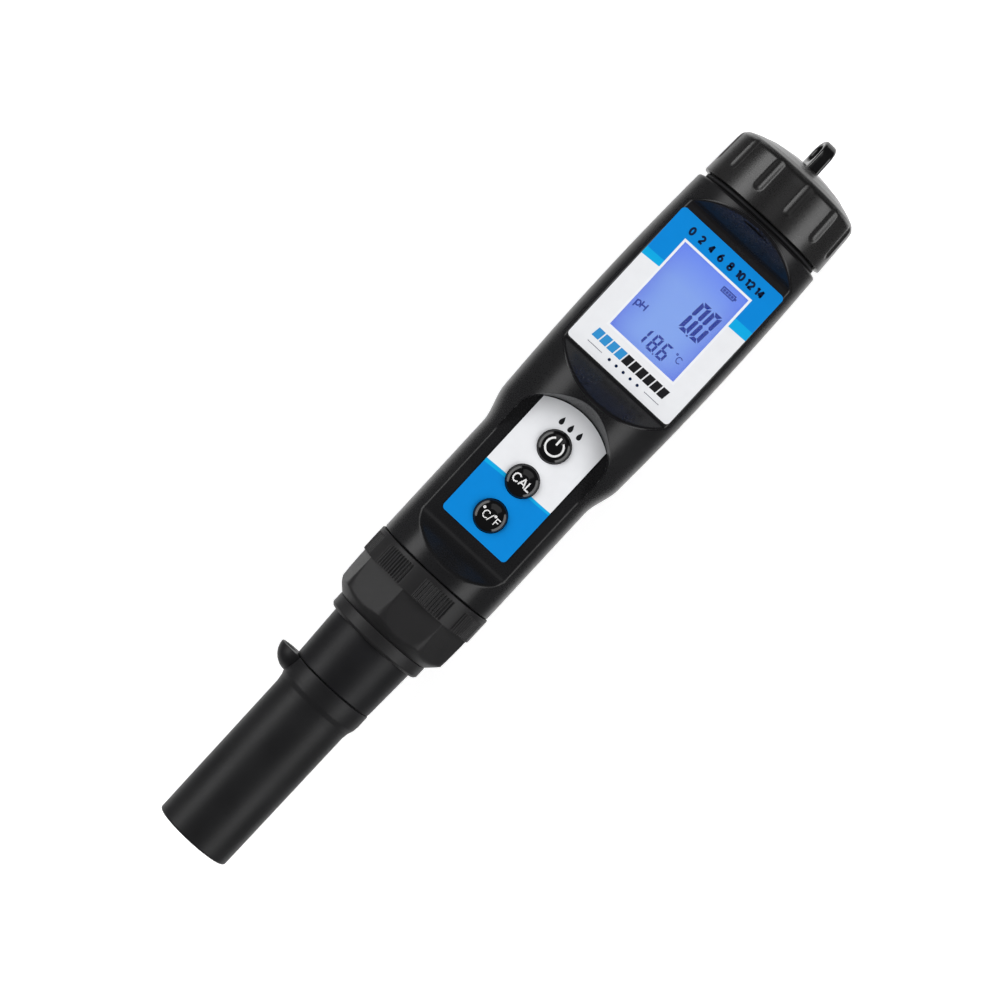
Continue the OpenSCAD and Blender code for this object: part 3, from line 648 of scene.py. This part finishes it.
def thread(root, s0, s1, turns_in=0.12):
    """A right-handed ridge that fades in and out at its ends."""
    turns = (s1 - s0) / PITCH
    n = int(turns * 96)
    t = np.linspace(0, 1, n)
    a = t * turns * 2 * math.pi
    s = s0 + t * (s1 - s0)
    fade = np.clip(np.minimum(t, 1 - t) * turns / turns_in, 0, 1)
    fade = fade * fade * (3 - 2 * fade)
    flank = [(-0.1, -0.95), (0.15, -0.8), (0.85, -0.4), (1.0, -0.28)]
    profile = flank + [(up, -along) for up, along in flank[::-1]]
    rows = []
    for up, along in profile:
        r = root - 0.05 + THREAD_DEPTH * max(up, 0.0) * fade + min(up, 0.0)
        rows.append(np.stack([r * np.sin(a), s + along, r * np.cos(a)], -1))
    return np.array(rows)


neck = rounded([
    (16.9, S_NECK - 0.02), (16.2, S_NECK - 0.02), (16.1, S_NECK + 0.28, 0.1),
    (15.0, S_NECK + 0.3), (15.0, S_NECK + 9.3, 0.5), (14.0, S_NECK + 9.3, 0.3),
    (14.0, S_NECK - 0.8), (16.1, S_NECK - 2.2)])
# The neck shows in the groove under the battery cap; its darker, duller material is painted shade
# for that groove
piece("housing_neck", "housing", M["neck_painted_shade"],
      [(turned(neck), False, True),
       (thread(15.0, S_NECK + 3.0, S_NECK + 8.2), False, False)])
spigot = rounded([
    (15.1, S_HOUSING + 0.01), (12.2, S_HOUSING + 0.01), (12.2, S_HOUSING - 9.7, 0.5),
    (10.9, S_HOUSING - 9.7, 0.3), (10.9, S_HOUSING + 2.3)])
piece("housing_spigot", "housing", M["satin_black"],
      [(turned(spigot), False, True),
       (thread(12.2, S_HOUSING - 8.6, S_HOUSING - 2.2), False, False)])


def bezel_half():
    """Right half of the glossy bezel: scoop surface, rounded ridge, rim out to the seam."""
    low = find(lambda s: display_h(s) - envelope(s), 128, 137)
    top = find(lambda s: display_h(s) - envelope(s), 180, 186.1)
    rows = np.concatenate([
        spaced(APEX["seam_low"] + 0.02, low, 12, 2.0), spaced(low, 138.1, 26, 2.0),
        spaced(138.1, 140.3, 12), spaced(140.3, 179.0, 60), spaced(179.0, 181.6, 14),
        spaced(181.6, top, 26, -2.0), spaced(top, APEX["seam_top"] - 0.02, 12, -2.0),
        [APEX["seam_top"] - 0.02]])
    inner, strip = 40, 12
    out = []
    for s in rows:
        r = float(envelope(s)) - 0.03
        rim = math.sqrt(max(r * r - float(seam_h(s)) ** 2, 1e-6)) - 0.06
        rim = max(rim, 0.0)
        x0 = min(math.sqrt(max(r * r - float(display_h(s)) ** 2, 0.0)), rim)
        near = NEAR[::-1] * min(1, x0 / NEAR_SPAN)
        x = np.concatenate([np.linspace(0, x0 - near[0], inner - len(near) + 1)[:-1], x0 - near,
                            np.linspace(x0, rim, strip + 1)[1:]])
        full = np.sqrt(np.maximum(r * r - x * x, 0))
        h = smin(full, display_h(s), 0.8)
        x = np.concatenate([x, [rim, rim * 0.995]])
        h = np.concatenate([h, [h[-1] - 0.25, h[-1] - 1.0]])
        out.append(np.stack([x, np.full(len(x), s), h], -1))
    return np.array(out)


def bezel_keep(c):
    """Leaves out the bezel's floor under the window, up to 1 mm past the opening."""
    across = np.abs(c[:, 0]) < LCD_W / 2 + 1.0
    along = np.abs(c[:, 1] - LCD_S) < LCD_H / 2 + 1.0
    return ~(across & along)


half = bezel_half()
piece("display_surround", "housing", M["bezel_black"],
      [(half, False, False), (mirrored(half), False, False)], ["display_bezel"], bezel_keep)


# ---------- battery cap, lanyard loop ----------

FLUTES, FLUTE_R, FLUTE_OUT, FLUTE_TURN = 12, 1.9, 18.45, math.radians(8.5)
FLUTE_S, FLUTE_LEAN = 192.1, math.tan(math.radians(2.1))


def fluted(outline, columns):
    """Battery cap surface: its outline turned, with round-ended flutes let into the side."""
    r0, s = (np.array([p[i] for p in outline])[:, None] for i in (0, 1))
    a = np.arange(columns) * 2 * math.pi / columns
    step = 2 * math.pi / FLUTES
    off = (a - FLUTE_TURN + step / 2) % step - step / 2
    axis = FLUTE_OUT - (s - FLUTE_S) * FLUTE_LEAN
    cut = np.sqrt(np.maximum(FLUTE_R ** 2 - np.minimum(s - FLUTE_S, 0) ** 2, 0))
    inside = cut ** 2 - (axis * np.sin(off)) ** 2
    r = np.where(inside > 0, axis * np.cos(off) - np.sqrt(np.maximum(inside, 0)), 99.0)
    r = smin(r0 + 0 * off, r, 0.4)
    return np.stack([r * np.sin(a), s + 0 * a, r * np.cos(a)], -1)


CAP_R, CAP_TAPER = 17.1, 0.04

side = [(CAP_R - CAP_TAPER * (s - S_CAP), s) for s in np.linspace(S_CAP + 0.5, S_DOME - 1.5, 40)]
cap_skin = rounded([(16.6, S_CAP), (CAP_R, S_CAP, 0.3), side[0]])[:-1] + side + rounded([
    side[-1], (16.52, S_DOME + 0.1, 1.6), (15.5, S_DOME + 1.2, 1.6), (13.6, S_DOME + 2.05, 2.5),
    (10.0, S_DOME + 3.25, 6.0), (5.5, S_DOME + 4.05, 6.0), (0.001, S_CROWN)])[1:]
cap_bore = rounded([
    (16.6, S_CAP), (15.75, S_CAP, 0.2), (15.75, 196.5, 0.3), (14.2, 197.0, 0.3),
    (14.2, S_DOME - 0.6, 0.4), (8.0, S_DOME + 1.4), (5.0, S_DOME + 1.4, 0.3), (5.0, 192.6, 0.2),
    (3.05, 192.6, 0.2), (3.05, 198.6), (0.001, 198.6)])
piece("battery_cap_skin", "battery_cap", M["grained_black"],
      [(fluted(cap_skin, 600), False, True), (turned(cap_bore, 600), False, True)], ["battery_cap"])

EYE_R, LOOP_R, LOOP_FOOT, LOOP_TURN = 2.2, 3.9, 5.7, math.radians(10)


def loop_ring():
    """Upright loop with rounded edges, its foot sunk into the dome."""
    n = 120
    phi = np.arange(n) * 2 * math.pi / n
    c, d = np.cos(phi), np.sin(phi)
    to_side, to_foot = LOOP_R / np.maximum(np.abs(c), 1e-6), LOOP_FOOT / np.maximum(-d, 1e-6)
    outer = np.where(d >= 0, LOOP_R, np.minimum(to_side, to_foot))
    half_t, edge = 1.6, 0.75
    section = []
    for cx, cy, start in ((1, 1, 0), (0, 1, 90), (0, -1, 180), (1, -1, 270)):
        for q in np.radians(np.linspace(start, start + 90, 8)):
            section.append((cx, cy, math.cos(q), math.sin(q)))
    rows = []
    for end, up, ox, oy in section:
        rho = np.where(end, outer - edge + edge * ox, EYE_R + edge + edge * ox)
        w = up * (half_t - edge) + edge * oy
        depth, s = rho * c, S_LOOP + rho * d
        x = w * math.cos(LOOP_TURN) + depth * math.sin(LOOP_TURN)
        h = -w * math.sin(LOOP_TURN) + depth * math.cos(LOOP_TURN)
        rows.append(np.stack([x, s, h], -1))
    return np.array(rows)


piece("lanyard_ring", "battery_cap", M["gloss_black"], [(loop_ring(), True, True)],
      ["lanyard_loop"])

# ---------- collar, ring, probe, storage cap ----------

FACET, FACET_TURN, FACETS = 14.41, math.radians(10.2), 8
RIB, RIB_STEP, RIBS, RIB_TURN = 0.25, math.radians(2.9), 11, math.radians(1.2)

# Ends of the collar, the step from its flats to its ribbed band, and the band's radius
COLLAR_LOW, COLLAR_TOP, COLLAR_STEP, BAND_R = 63.35, 80.55, 74.0, 15.76


def collar_outside():
    """Collar surface: eight flats with soft lower ends, and a band with eight ribbed patches."""
    s = np.concatenate([
        np.linspace(63.38, 66.0, 14), np.linspace(66.15, 73.9, 20),
        [73.97, COLLAR_STEP, 74.06, 74.15, 74.25, 74.4],
        np.linspace(74.7, 79.0, 12), [79.2, 79.35, 79.5, 79.7, 79.95]])
    r0 = np.interp(s, [COLLAR_LOW, 66.0, 73.97, COLLAR_STEP, 80.2],
                   [12.6, 15.26, 15.70, BAND_R, BAND_R])
    tail = rounded([(BAND_R, 79.95), (BAND_R, COLLAR_TOP, 0.32), (15.0, COLLAR_TOP)])
    r0 = np.concatenate([r0, [p[0] for p in tail[1:]]])[:, None]
    s = np.concatenate([s, [p[1] for p in tail[1:]]])[:, None]
    n = 960
    a = np.arange(n) * 2 * math.pi / n
    step = 2 * math.pi / FACETS
    off = (a - FACET_TURN + step / 2) % step - step / 2
    soft = 0.12 + 0.5 * np.clip((68.0 - s) / 2.5, 0, 1)
    flat = np.where(s < COLLAR_STEP - 0.01, smin(r0, FACET / np.cos(off) + 0 * s, soft), r0)
    rib_off = (a - FACET_TURN - RIB_TURN + step / 2) % step - step / 2
    in_patch = np.clip((RIBS * RIB_STEP / 2 - np.abs(rib_off)) / math.radians(0.4), 0, 1)
    wave = (0.5 + 0.5 * np.cos(rib_off * 2 * math.pi / RIB_STEP)) ** 1.5
    along = np.clip((s - 74.1) / 0.25, 0, 1) * np.clip((79.5 - s) / 0.3, 0, 1)
    r = flat - RIB * wave * in_patch * along
    return np.stack([r * np.sin(a), s + 0 * a, r * np.cos(a)], -1)


collar_rest = rounded([
    (12.6, 63.38), (12.45, COLLAR_LOW), (10.78, COLLAR_LOW, 0.15), (10.78, 65.6, 0.15),
    (12.95, 65.6, 0.3), (12.95, COLLAR_TOP, 0.3), (15.0, COLLAR_TOP)])
piece("collar_nut", "collar", M["collar_black"],
      [(collar_outside(), False, True), (turned(collar_rest, 960), False, True)], ["collar"])

ring = rounded([
    (10.7, S_RING + 0.02, 0.1), (12.1, S_RING + 0.02, 0.3), (12.6, S_RING + 0.6, 0.35),
    (12.6, S_COLLAR, 0.35), (10.7, S_COLLAR, 0.1)])
piece("clamp_ring", "probe", M["collar_black"],
      [(turned(ring + [ring[0]]), False, True)], ["retaining_ring"])

tube_outline = rounded([
    (3.3, 30.0, 0.2), (8.2, 30.0, 0.4), (8.2, 42.0, 0.15), (7.3, 42.0, 0.15), (7.3, 43.6, 0.15),
    (8.2, 43.6, 0.15), (8.2, S_TUBE, 0.25), (10.6, S_TUBE, 0.35), (11.07, S_RING, 0.12),
    (10.68, S_RING), (10.68, 65.7), (12.8, 65.7, 0.2), (12.8, 70.1, 0.3), (10.6, 70.1, 0.15),
    (10.6, 73.7, 0.1), (9.65, 73.7, 0.1), (9.65, 75.3, 0.1), (10.6, 75.3, 0.1),
    (10.6, 79.0, 0.5), (3.3, 79.0, 0.2)])
piece("electrode_tube", "probe", M["tube_black"],
      [(turned(tube_outline + [tube_outline[0]]), False, True)], ["probe_body"])

CAP_RIM = 46.48
cap_outline = rounded([
    (0.001, 0.0), (9.63, 0.0, 0.55), (9.8, 39.0, 4.0), (10.05, 40.7, 1.5), (10.55, 42.0, 1.5),
    (10.7, 43.3, 1.2), (10.7, CAP_RIM, 0.28), (8.55, CAP_RIM, 0.3), (8.55, 2.0, 1.0), (0.001, 2.0)])

# Middle and radius of the tab's ball, and the radius, within the cap's wall, where the tab ends
TAB_X, TAB_R, TAB_ROOT = -10.2, 4.9, 9.2
DISH_X, DISH_R, DISH_UP = -12.7, 3.0, 2.4


def pull_tab():
    """Thumb tab: the lower half of a ball on the rim's side, with a shallow dish in its top."""
    n, top = 96, CAP_RIM
    a = np.arange(n) * 2 * math.pi / n
    rows = []
    for q in np.radians(np.linspace(-90, -4, 26)):
        rows.append((TAB_R * math.cos(q), top + TAB_R * math.sin(q)))
    rows += [(4.85, top - 0.12), (4.72, top - 0.02), (4.55, top)]
    rows += [(r, top) for r in (4.2, 3.7, 3.2, 2.8, 2.4, 2.0, 1.6, 1.2, 0.8, 0.4, 0.001)]
    r, s = (np.array([p[i] for p in rows])[:, None] for i in (0, 1))
    x, h = TAB_X + r * np.sin(a), r * np.cos(a)
    s = s + 0 * a
    within = DISH_R ** 2 - (x - DISH_X) ** 2 - h ** 2
    dish = top + DISH_UP - np.sqrt(np.maximum(within, 0.0))
    s = np.where((s > top - 0.2) & (within > 0), smin(s, dish, 0.25), s)
    return np.stack([x, s, h], -1)


piece("storage_cap_shell", "storage_cap", M["cap_black"],
      [(turned(cap_outline), False, True)], ["storage_cap"])
piece("storage_cap_tab", "storage_cap", M["cap_black"], [(pull_tab(), False, True)],
      keep=lambda c: np.hypot(c[:, 0], c[:, 2]) > TAB_ROOT)

# ---------- buttons ----------

button_outline = rounded([
    (0.001, 7.0), (4.5, 7.0, 0.1), (4.5, 7.6, 0.1), (KEY_R, 7.6), (KEY_R, 9.75, 0.3),
    (3.5, 10.2, 0.35), (2.9, 10.52, 0.9), (1.6, 10.78, 2.0), (0.001, 10.84)])


def facing_up(outline, s, n=96):
    """An (r, h) outline turned round a line that runs to the front at (0, s)."""
    r, h = (np.array([p[i] for p in outline])[:, None] for i in (0, 1))
    a = np.arange(n) * 2 * math.pi / n
    return np.stack([r * np.cos(a), s + r * np.sin(a), h + 0 * a], -1)


def button_top(d):
    """Height of a button's skin at distance d from its middle."""
    line = [(p[0], p[1]) for p in button_outline if p[1] > 9.0][::-1]
    return np.interp(d, [p[0] for p in line], [p[1] for p in line])


def ribbon_mark(name, body, strokes, s, width, material, height=button_top, lift=0.015):
    """Printed strokes, draped over a surface; strokes are point lists round (0, s)."""
    verts, faces = [], []
    for line in strokes:
        line = np.array(line, float)
        if len(line) < 3 or np.linalg.norm(line[0] - line[-1]) > 1e-6:
            closed = False
        else:
            closed, line = True, line[:-1]
        t = np.roll(line, -1, 0) - np.roll(line, 1, 0) if closed else np.gradient(line, axis=0)
        t /= np.linalg.norm(t, axis=1)[:, None]
        side = np.stack([-t[:, 1], t[:, 0]], -1) * width / 2
        start = len(verts)
        for p, q in zip(line, side):
            for v in (p - q, p + q):
                d = math.hypot(*v)
                verts.append((v[0], s + v[1], float(height(d)) + lift))
        n = len(line)
        for i in range(n if closed else n - 1):
            j = (i + 1) % n
            faces.append([start + 2 * i, start + 2 * j, start + 2 * j + 1, start + 2 * i + 1])
    return solid(name, body, material, np.array(verts), faces)


def line(x0, y0, x1, y1, n=6):
    """Points along a straight stroke."""
    return [(x0 + (x1 - x0) * i / (n - 1), y0 + (y1 - y0) * i / (n - 1)) for i in range(n)]


def oval(cx, cy, rx, ry, a0=0, a1=360, n=25):
    """Points round an ellipse, clockwise from a0 to a1 degrees, 0 at its top."""
    return [(cx + rx * math.sin(math.radians(a)), cy + ry * math.cos(math.radians(a)))
            for a in np.linspace(a0, a1, n)]


# Each letter's width and strokes, for a height of 1
GLYPHS = {
    "0": (0.60, [oval(0.30, 0.50, 0.28, 0.50)]),
    "1": (0.45, [line(0.08, 0.78, 0.34, 1.0), line(0.34, 1.03, 0.34, 0)]),
    "2": (0.62, [oval(0.30, 0.70, 0.28, 0.30, -75, 125), line(0.53, 0.53, 0.04, 0.04),
                 line(0, 0.03, 0.60, 0.03)]),
    "4": (0.62, [line(0.45, 0, 0.45, 1.03), line(0.45, 1.0, 0.02, 0.30),
                 line(0, 0.27, 0.62, 0.27)]),
    "6": (0.60, [oval(0.30, 0.29, 0.28, 0.29), oval(0.62, 0.26, 0.60, 0.74, 270, 345)]),
    "8": (0.60, [oval(0.30, 0.75, 0.23, 0.25), oval(0.30, 0.26, 0.28, 0.26)]),
    "C": (0.76, [oval(0.42, 0.50, 0.42, 0.50, 128, 412)]),
    "A": (0.80, [line(0, 0, 0.40, 1.02), line(0.40, 1.02, 0.80, 0), line(0.14, 0.32, 0.66, 0.32)]),
    "L": (0.52, [line(0, 0, 0, 1), line(-0.08, 0.02, 0.52, 0.02)]),
    "F": (0.52, [line(0, 0, 0, 1), line(-0.08, 0.98, 0.54, 0.98), line(0, 0.52, 0.48, 0.52)]),
    "H": (0.70, [line(0, 0, 0, 1), line(0.70, 0, 0.70, 1), line(0, 0.50, 0.70, 0.50)]),
    "p": (0.58, [line(0, -0.38, 0, 0.72), oval(0.30, 0.36, 0.29, 0.36)]),
    "/": (0.40, [line(0, -0.05, 0.36, 1.05)]),
    "o": (0.36, [oval(0.13, 1.02, 0.12, 0.12)]),
}


def write(text, x, y, height, gap):
    """Strokes of a word whose first letter's foot starts at (x, y)."""
    strokes = []
    for char in text:
        width, shape = GLYPHS[char]
        strokes += [[(x + u * height, y + v * height) for u, v in stroke] for stroke in shape]
        x += width * height + gap
    return strokes


# Strokes and stroke width of each key's mark
MARKS = (
    ([oval(0, 0, 2.08, 2.08, 32, 328), line(0, 0.55, 0, 2.5)], 0.46),
    (write("CAL", -2.33, -1.05, 1.95, 0.42), 0.34),
    (write("oC/oF", -2.55, -1.1, 1.75, 0.22), 0.25))
for name, s, (mark, stroke_w) in zip(("power", "calibration", "unit"), KEY_S, MARKS):
    piece(name + "_key", name + "_button", M["key_black"],
          [(facing_up(button_outline, s), False, True)], [name + "_button"])
    ribbon_mark(name + "_mark", name + "_button", mark, s, stroke_w, INK_WHITE)

# ---------- display ----------


def plate(name, body, outlines, h, material, thickness=0.04):
    """Thin closed plates in the display's plane, each from an (x, s) outline going round."""
    verts, faces = [], []
    for o in outlines:
        n, k = len(o), len(verts)
        verts += [(x, s, h) for x, s in o] + [(x, s, h - thickness) for x, s in o]
        faces.append(list(range(k, k + n)))
        faces.append(list(range(k + 2 * n - 1, k + n - 1, -1)))
        faces += [[k + (i + 1) % n, k + i, k + n + i, k + n + (i + 1) % n] for i in range(n)]
    return solid(name, body, material, np.array(verts), faces)


SEGMENTS = {"0": "abcdef", "1": "bc", "6": "acdefg", "8": "abcdefg"}
SLANT, SEGMENT_GAP = 0.07, 0.04


def digit(char, x, s, w, h, t):
    """Seven-segment digit whose lower left corner is (x, s), leaning right."""
    g, m = SEGMENT_GAP * t, h / 2
    tip, inner = t * 0.3 + g, t + g
    bars = {
        "a": [(tip, h), (w - tip, h), (w - inner, h - t), (inner, h - t)],
        "d": [(tip, 0), (inner, t), (w - inner, t), (w - tip, 0)],
        "g": [(t * 0.6 + g, m), (inner, m + t / 2), (w - inner, m + t / 2), (w - t * 0.6 - g, m),
              (w - inner, m - t / 2), (inner, m - t / 2)],
        "f": [(0, h - tip), (t, h - inner), (t, m + t / 2 + g), (t / 2, m + g), (0, m + tip)],
        "e": [(0, tip), (0, m - tip), (t / 2, m - g), (t, m - t / 2 - g), (t, inner)]}
    for left, right in (("f", "b"), ("e", "c")):
        bars[right] = [(w - u, v) for u, v in reversed(bars[left])]
    return [[(x + u + SLANT * v, s + v) for u, v in bars[k]] for k in SEGMENTS[char]]


def square(x0, s0, x1, s1):
    """Outline of a rectangle."""
    return [(x0, s0), (x1, s0), (x1, s1), (x0, s1)]


def disc(x, s, r, n=20):
    """Outline of a round dot."""
    return [(x + r * math.cos(a), s + r * math.sin(a)) for a in np.arange(n) * 2 * math.pi / n]


# Foot, height and stroke width of the large and the small figures
PH_S, PH_SIZE = 157.45, dict(h=8.1, t=0.94)
HEAT_S, HEAT_SIZE = 149.25, dict(h=4.2, t=0.58)
GLASS_TOP = 8.05

shown = digit("0", 1.96, PH_S, 2.65, **PH_SIZE) + digit("0", 5.1, PH_S, 2.65, **PH_SIZE)
shown += [square(4.62, 157.2, 5.08, 157.62)]
shown += digit("1", -3.15, HEAT_S, 1.75, **HEAT_SIZE) + digit("8", -0.35, HEAT_S, 2.05, **HEAT_SIZE)
shown += digit("6", 2.45, HEAT_S, 2.1, **HEAT_SIZE)
shown += [square(1.85, 149.15, 2.2, 149.5)]
# Battery sign: its case, its end and four bars
shown += [square(3.4, 169.75, 7.2, 170.05), square(3.4, 170.85, 7.2, 171.15),
          square(3.4, 170.05, 3.7, 170.85), square(6.9, 170.05, 7.2, 170.85),
          square(7.2, 170.2, 7.6, 170.7)]
shown += [square(3.85 + 0.76 * i, 170.15, 4.45 + 0.76 * i, 170.75) for i in range(4)]
plate("display_segments", "housing", shown, GLASS_TOP + 0.01, INK_SEGMENT)
for name, strokes, stroke_w in (
        ("ph_sign", write("pH", -8.55, 154.9, 1.75, 0.35), 0.34),
        ("celsius_sign", write("oC", 5.95, 151.45, 1.5, 0.2), 0.22)):
    ribbon_mark(name, "housing", strokes, 0, stroke_w, INK_SEGMENT,
                height=lambda d: GLASS_TOP, lift=0)

# ---------- printing on the overlays ----------

LABEL_TOP = FRONT + LABEL_T + 0.03
NUMBER_X, NUMBER_S, NUMBER_STEP, NUMBER_H, NUMBER_GAP = -9.9, 174.3, 2.86, 1.65, 0.25
numbers = []
for i in range(8):
    word = str(2 * i)
    wide = sum(GLYPHS[c][0] for c in word) * NUMBER_H + NUMBER_GAP * (len(word) - 1)
    numbers += write(word, NUMBER_X + NUMBER_STEP * i - wide / 2, NUMBER_S, NUMBER_H, NUMBER_GAP)
ribbon_mark("scale_numbers", "housing", numbers, 0, 0.50, INK_NAVY,
            height=lambda d: LABEL_TOP, lift=0)

BLOCK_LOW, BLOCK_TOP, BLOCK_LEAN = 143.35, 145.7, 0.35


def blocks(x, step, wide, n):
    """Outlines of n slanted blocks in a row."""
    return [[(left, BLOCK_LOW), (left + wide, BLOCK_LOW), (left + wide + BLOCK_LEAN, BLOCK_TOP),
             (left + BLOCK_LEAN, BLOCK_TOP)] for left in (x + step * i for i in range(n))]


plate("bar_light", "housing", blocks(-10.9, 2.2, 1.85, 4), LABEL_TOP, INK_SKY)
plate("bar_dark", "housing", blocks(-2.1, 2.12, 1.77, 6), LABEL_TOP, INK_BLACK)
RULE_S, RULE_HALF = 141.89, 0.06
rule = [square(x, RULE_S - RULE_HALF, x + 4.3, RULE_S + RULE_HALF) for x in (-10.7, 6.3)]
rule += [disc(2.1 * i, RULE_S, 0.36) for i in range(-2, 3)]
plate("rule_dots", "housing", rule, LABEL_TOP, INK_NAVY)
DROP_S, DROP_STEP, DROP_W, DROP_H = 125.0, 2.6, 0.775, 1.02
drop = [(DROP_W * math.sin(t) * math.sin(t / 2) ** 1.3, DROP_H * math.cos(t))
        for t in np.linspace(0, 2 * math.pi, 33)[:-1]]
drops = [[(x + DROP_STEP * i, y + DROP_S) for x, y in drop] for i in (-1, 0, 1)]
plate("drop_marks", "housing", drops, LABEL_TOP, INK_BLACK)

# ---------- room, light, camera ----------

MIDDLE = Vector((0, 0, AXIS_Z * MM))
FLOOR_HALF, FLOOR_GLOW, GLOW_FROM, GLOW_FULL = 3.0, 0.55, 0.3, 1.2
MIRROR_NEAR, MIRROR_FAR = 0.028, 0.046
WORLD_LIGHT = 0.08


def floor_paint():
    """Pale, white to the camera; reflections see it white near the pen and dark farther out."""
    k = Look("room_white", Roughness=0.9)
    paint = k.ramp(k.noise(60.0, 1.0), 0.3, 0.7, 0, 1)
    paint = k.mix(paint, rgba(0.79, 0.79, 0.79), rgba(0.81, 0.81, 0.81))
    path = k.tree.nodes.new("ShaderNodeLightPath")
    x = k.node("SeparateXYZ", None, Vector=k.coord).outputs[0]
    near = k.ramp(k.math("ABSOLUTE", x), MIRROR_NEAR, MIRROR_FAR, 1, 0)
    mirrored_near = k.math("MULTIPLY", path.outputs["Is Glossy Ray"], near)
    mirrored_far = k.math("SUBTRACT", path.outputs["Is Glossy Ray"], mirrored_near)
    k.set("Base Color", k.mix(mirrored_far, paint, rgba(0.08, 0.08, 0.08)))
    seen = k.math("MAXIMUM", path.outputs["Is Camera Ray"], k.math(
        "MAXIMUM", path.outputs["Is Transmission Ray"], mirrored_near))
    reach = k.node("VectorMath", {"operation": "LENGTH"}, i0=k.coord).outputs["Value"]
    glow = k.math("MULTIPLY", seen, k.ramp(reach, GLOW_FROM, GLOW_FULL, FLOOR_GLOW, 1.0))
    k.bsdf.inputs["Emission Color"].default_value = rgba(1, 1, 1)
    k.set("Emission Strength", glow)
    return k.mat


def pale_floor():
    """The plane that the pen lies on."""
    mesh = bpy.data.meshes.new("floor")
    corners = [(x * FLOOR_HALF, y * FLOOR_HALF, 0) for x, y in ((-1, -1), (1, -1), (1, 1), (-1, 1))]
    mesh.from_pydata(corners, [], [(0, 1, 2, 3)])
    floor = bpy.data.objects.new("floor", mesh)
    bpy.context.scene.collection.objects.link(floor)
    floor.data.materials.append(floor_paint())


def studio():
    """World that is white to camera and transmission rays and dim to all others."""
    world = bpy.data.worlds.new("studio")
    bpy.context.scene.world = world
    world.use_nodes = True
    tree = world.node_tree
    background = tree.nodes["Background"]
    path = tree.nodes.new("ShaderNodeLightPath")
    seen = tree.nodes.new("ShaderNodeMath")
    seen.operation = "MAXIMUM"
    tree.links.new(path.outputs["Is Camera Ray"], seen.inputs[0])
    tree.links.new(path.outputs["Is Transmission Ray"], seen.inputs[1])
    scale = tree.nodes.new("ShaderNodeMapRange")
    tree.links.new(seen.outputs[0], scale.inputs["Value"])
    scale.inputs["To Min"].default_value = WORLD_LIGHT
    scale.inputs["To Max"].default_value = 1.0
    tree.links.new(scale.outputs[0], background.inputs["Strength"])
    background.inputs["Color"].default_value = rgba(1, 1, 1)


def stand(obj, place, right, up, back):
    """Puts a lamp or camera in the scene, with its own axes along right, up and back."""
    bpy.context.scene.collection.objects.link(obj)
    obj.matrix_world = Matrix([
        (right.x, up.x, back.x, place.x), (right.y, up.y, back.y, place.y),
        (right.z, up.z, back.z, place.z), (0, 0, 0, 1)])


def softbox(name, place, width, length, power):
    """Rectangular lamp at place, turned to the middle of the pen."""
    light = bpy.data.lights.new(name, "AREA")
    light.shape = "RECTANGLE"
    light.size, light.size_y = width, length
    light.energy = power
    back = (place - MIDDLE).normalized()
    right = Vector((0, 1, 0)).cross(back).normalized()
    stand(bpy.data.objects.new(name, light), place, right, back.cross(right), back)


pale_floor()
studio()
SIDE_TILT, SIDE_AWAY = math.radians(58), 0.75
for name, sign, power in (("box_left", -1, 6.9), ("box_right", 1, 6.3)):
    toward = Vector((sign * math.sin(SIDE_TILT), 0, math.cos(SIDE_TILT)))
    softbox(name, MIDDLE + toward * SIDE_AWAY, 0.36, 1.1, power)
softbox("box_top", MIDDLE + Vector((0.0, 0.45, 1.1)), 0.5, 0.5, 0.8)

# The photo's camera: above the keypad, a little to the left, rolled against the pen
CAMERA_D, CAMERA_S, CAMERA_LEFT = 0.850, 130.0, math.radians(1.7)
AIM_X, AIM_S, CAMERA_ROLL = -0.56, 102.4, math.radians(42.76)
cam = bpy.data.cameras.new("camera")
cam.sensor_width = 36.0
cam.lens = 136.87
camera = bpy.data.objects.new("camera", cam)
bpy.context.scene.camera = camera
place = MIDDLE + Vector((-math.tan(CAMERA_LEFT) * CAMERA_D, (CAMERA_S - S_MID) * MM, CAMERA_D))
aim = MIDDLE + Vector((AIM_X, AIM_S - S_MID, 0)) * MM
back = (place - aim).normalized()
up = Vector((-math.sin(CAMERA_ROLL), math.cos(CAMERA_ROLL), 0))
right = up.cross(back).normalized()
stand(camera, place, right, back.cross(right), back)

bpy.context.scene.view_settings.view_transform = "Standard"
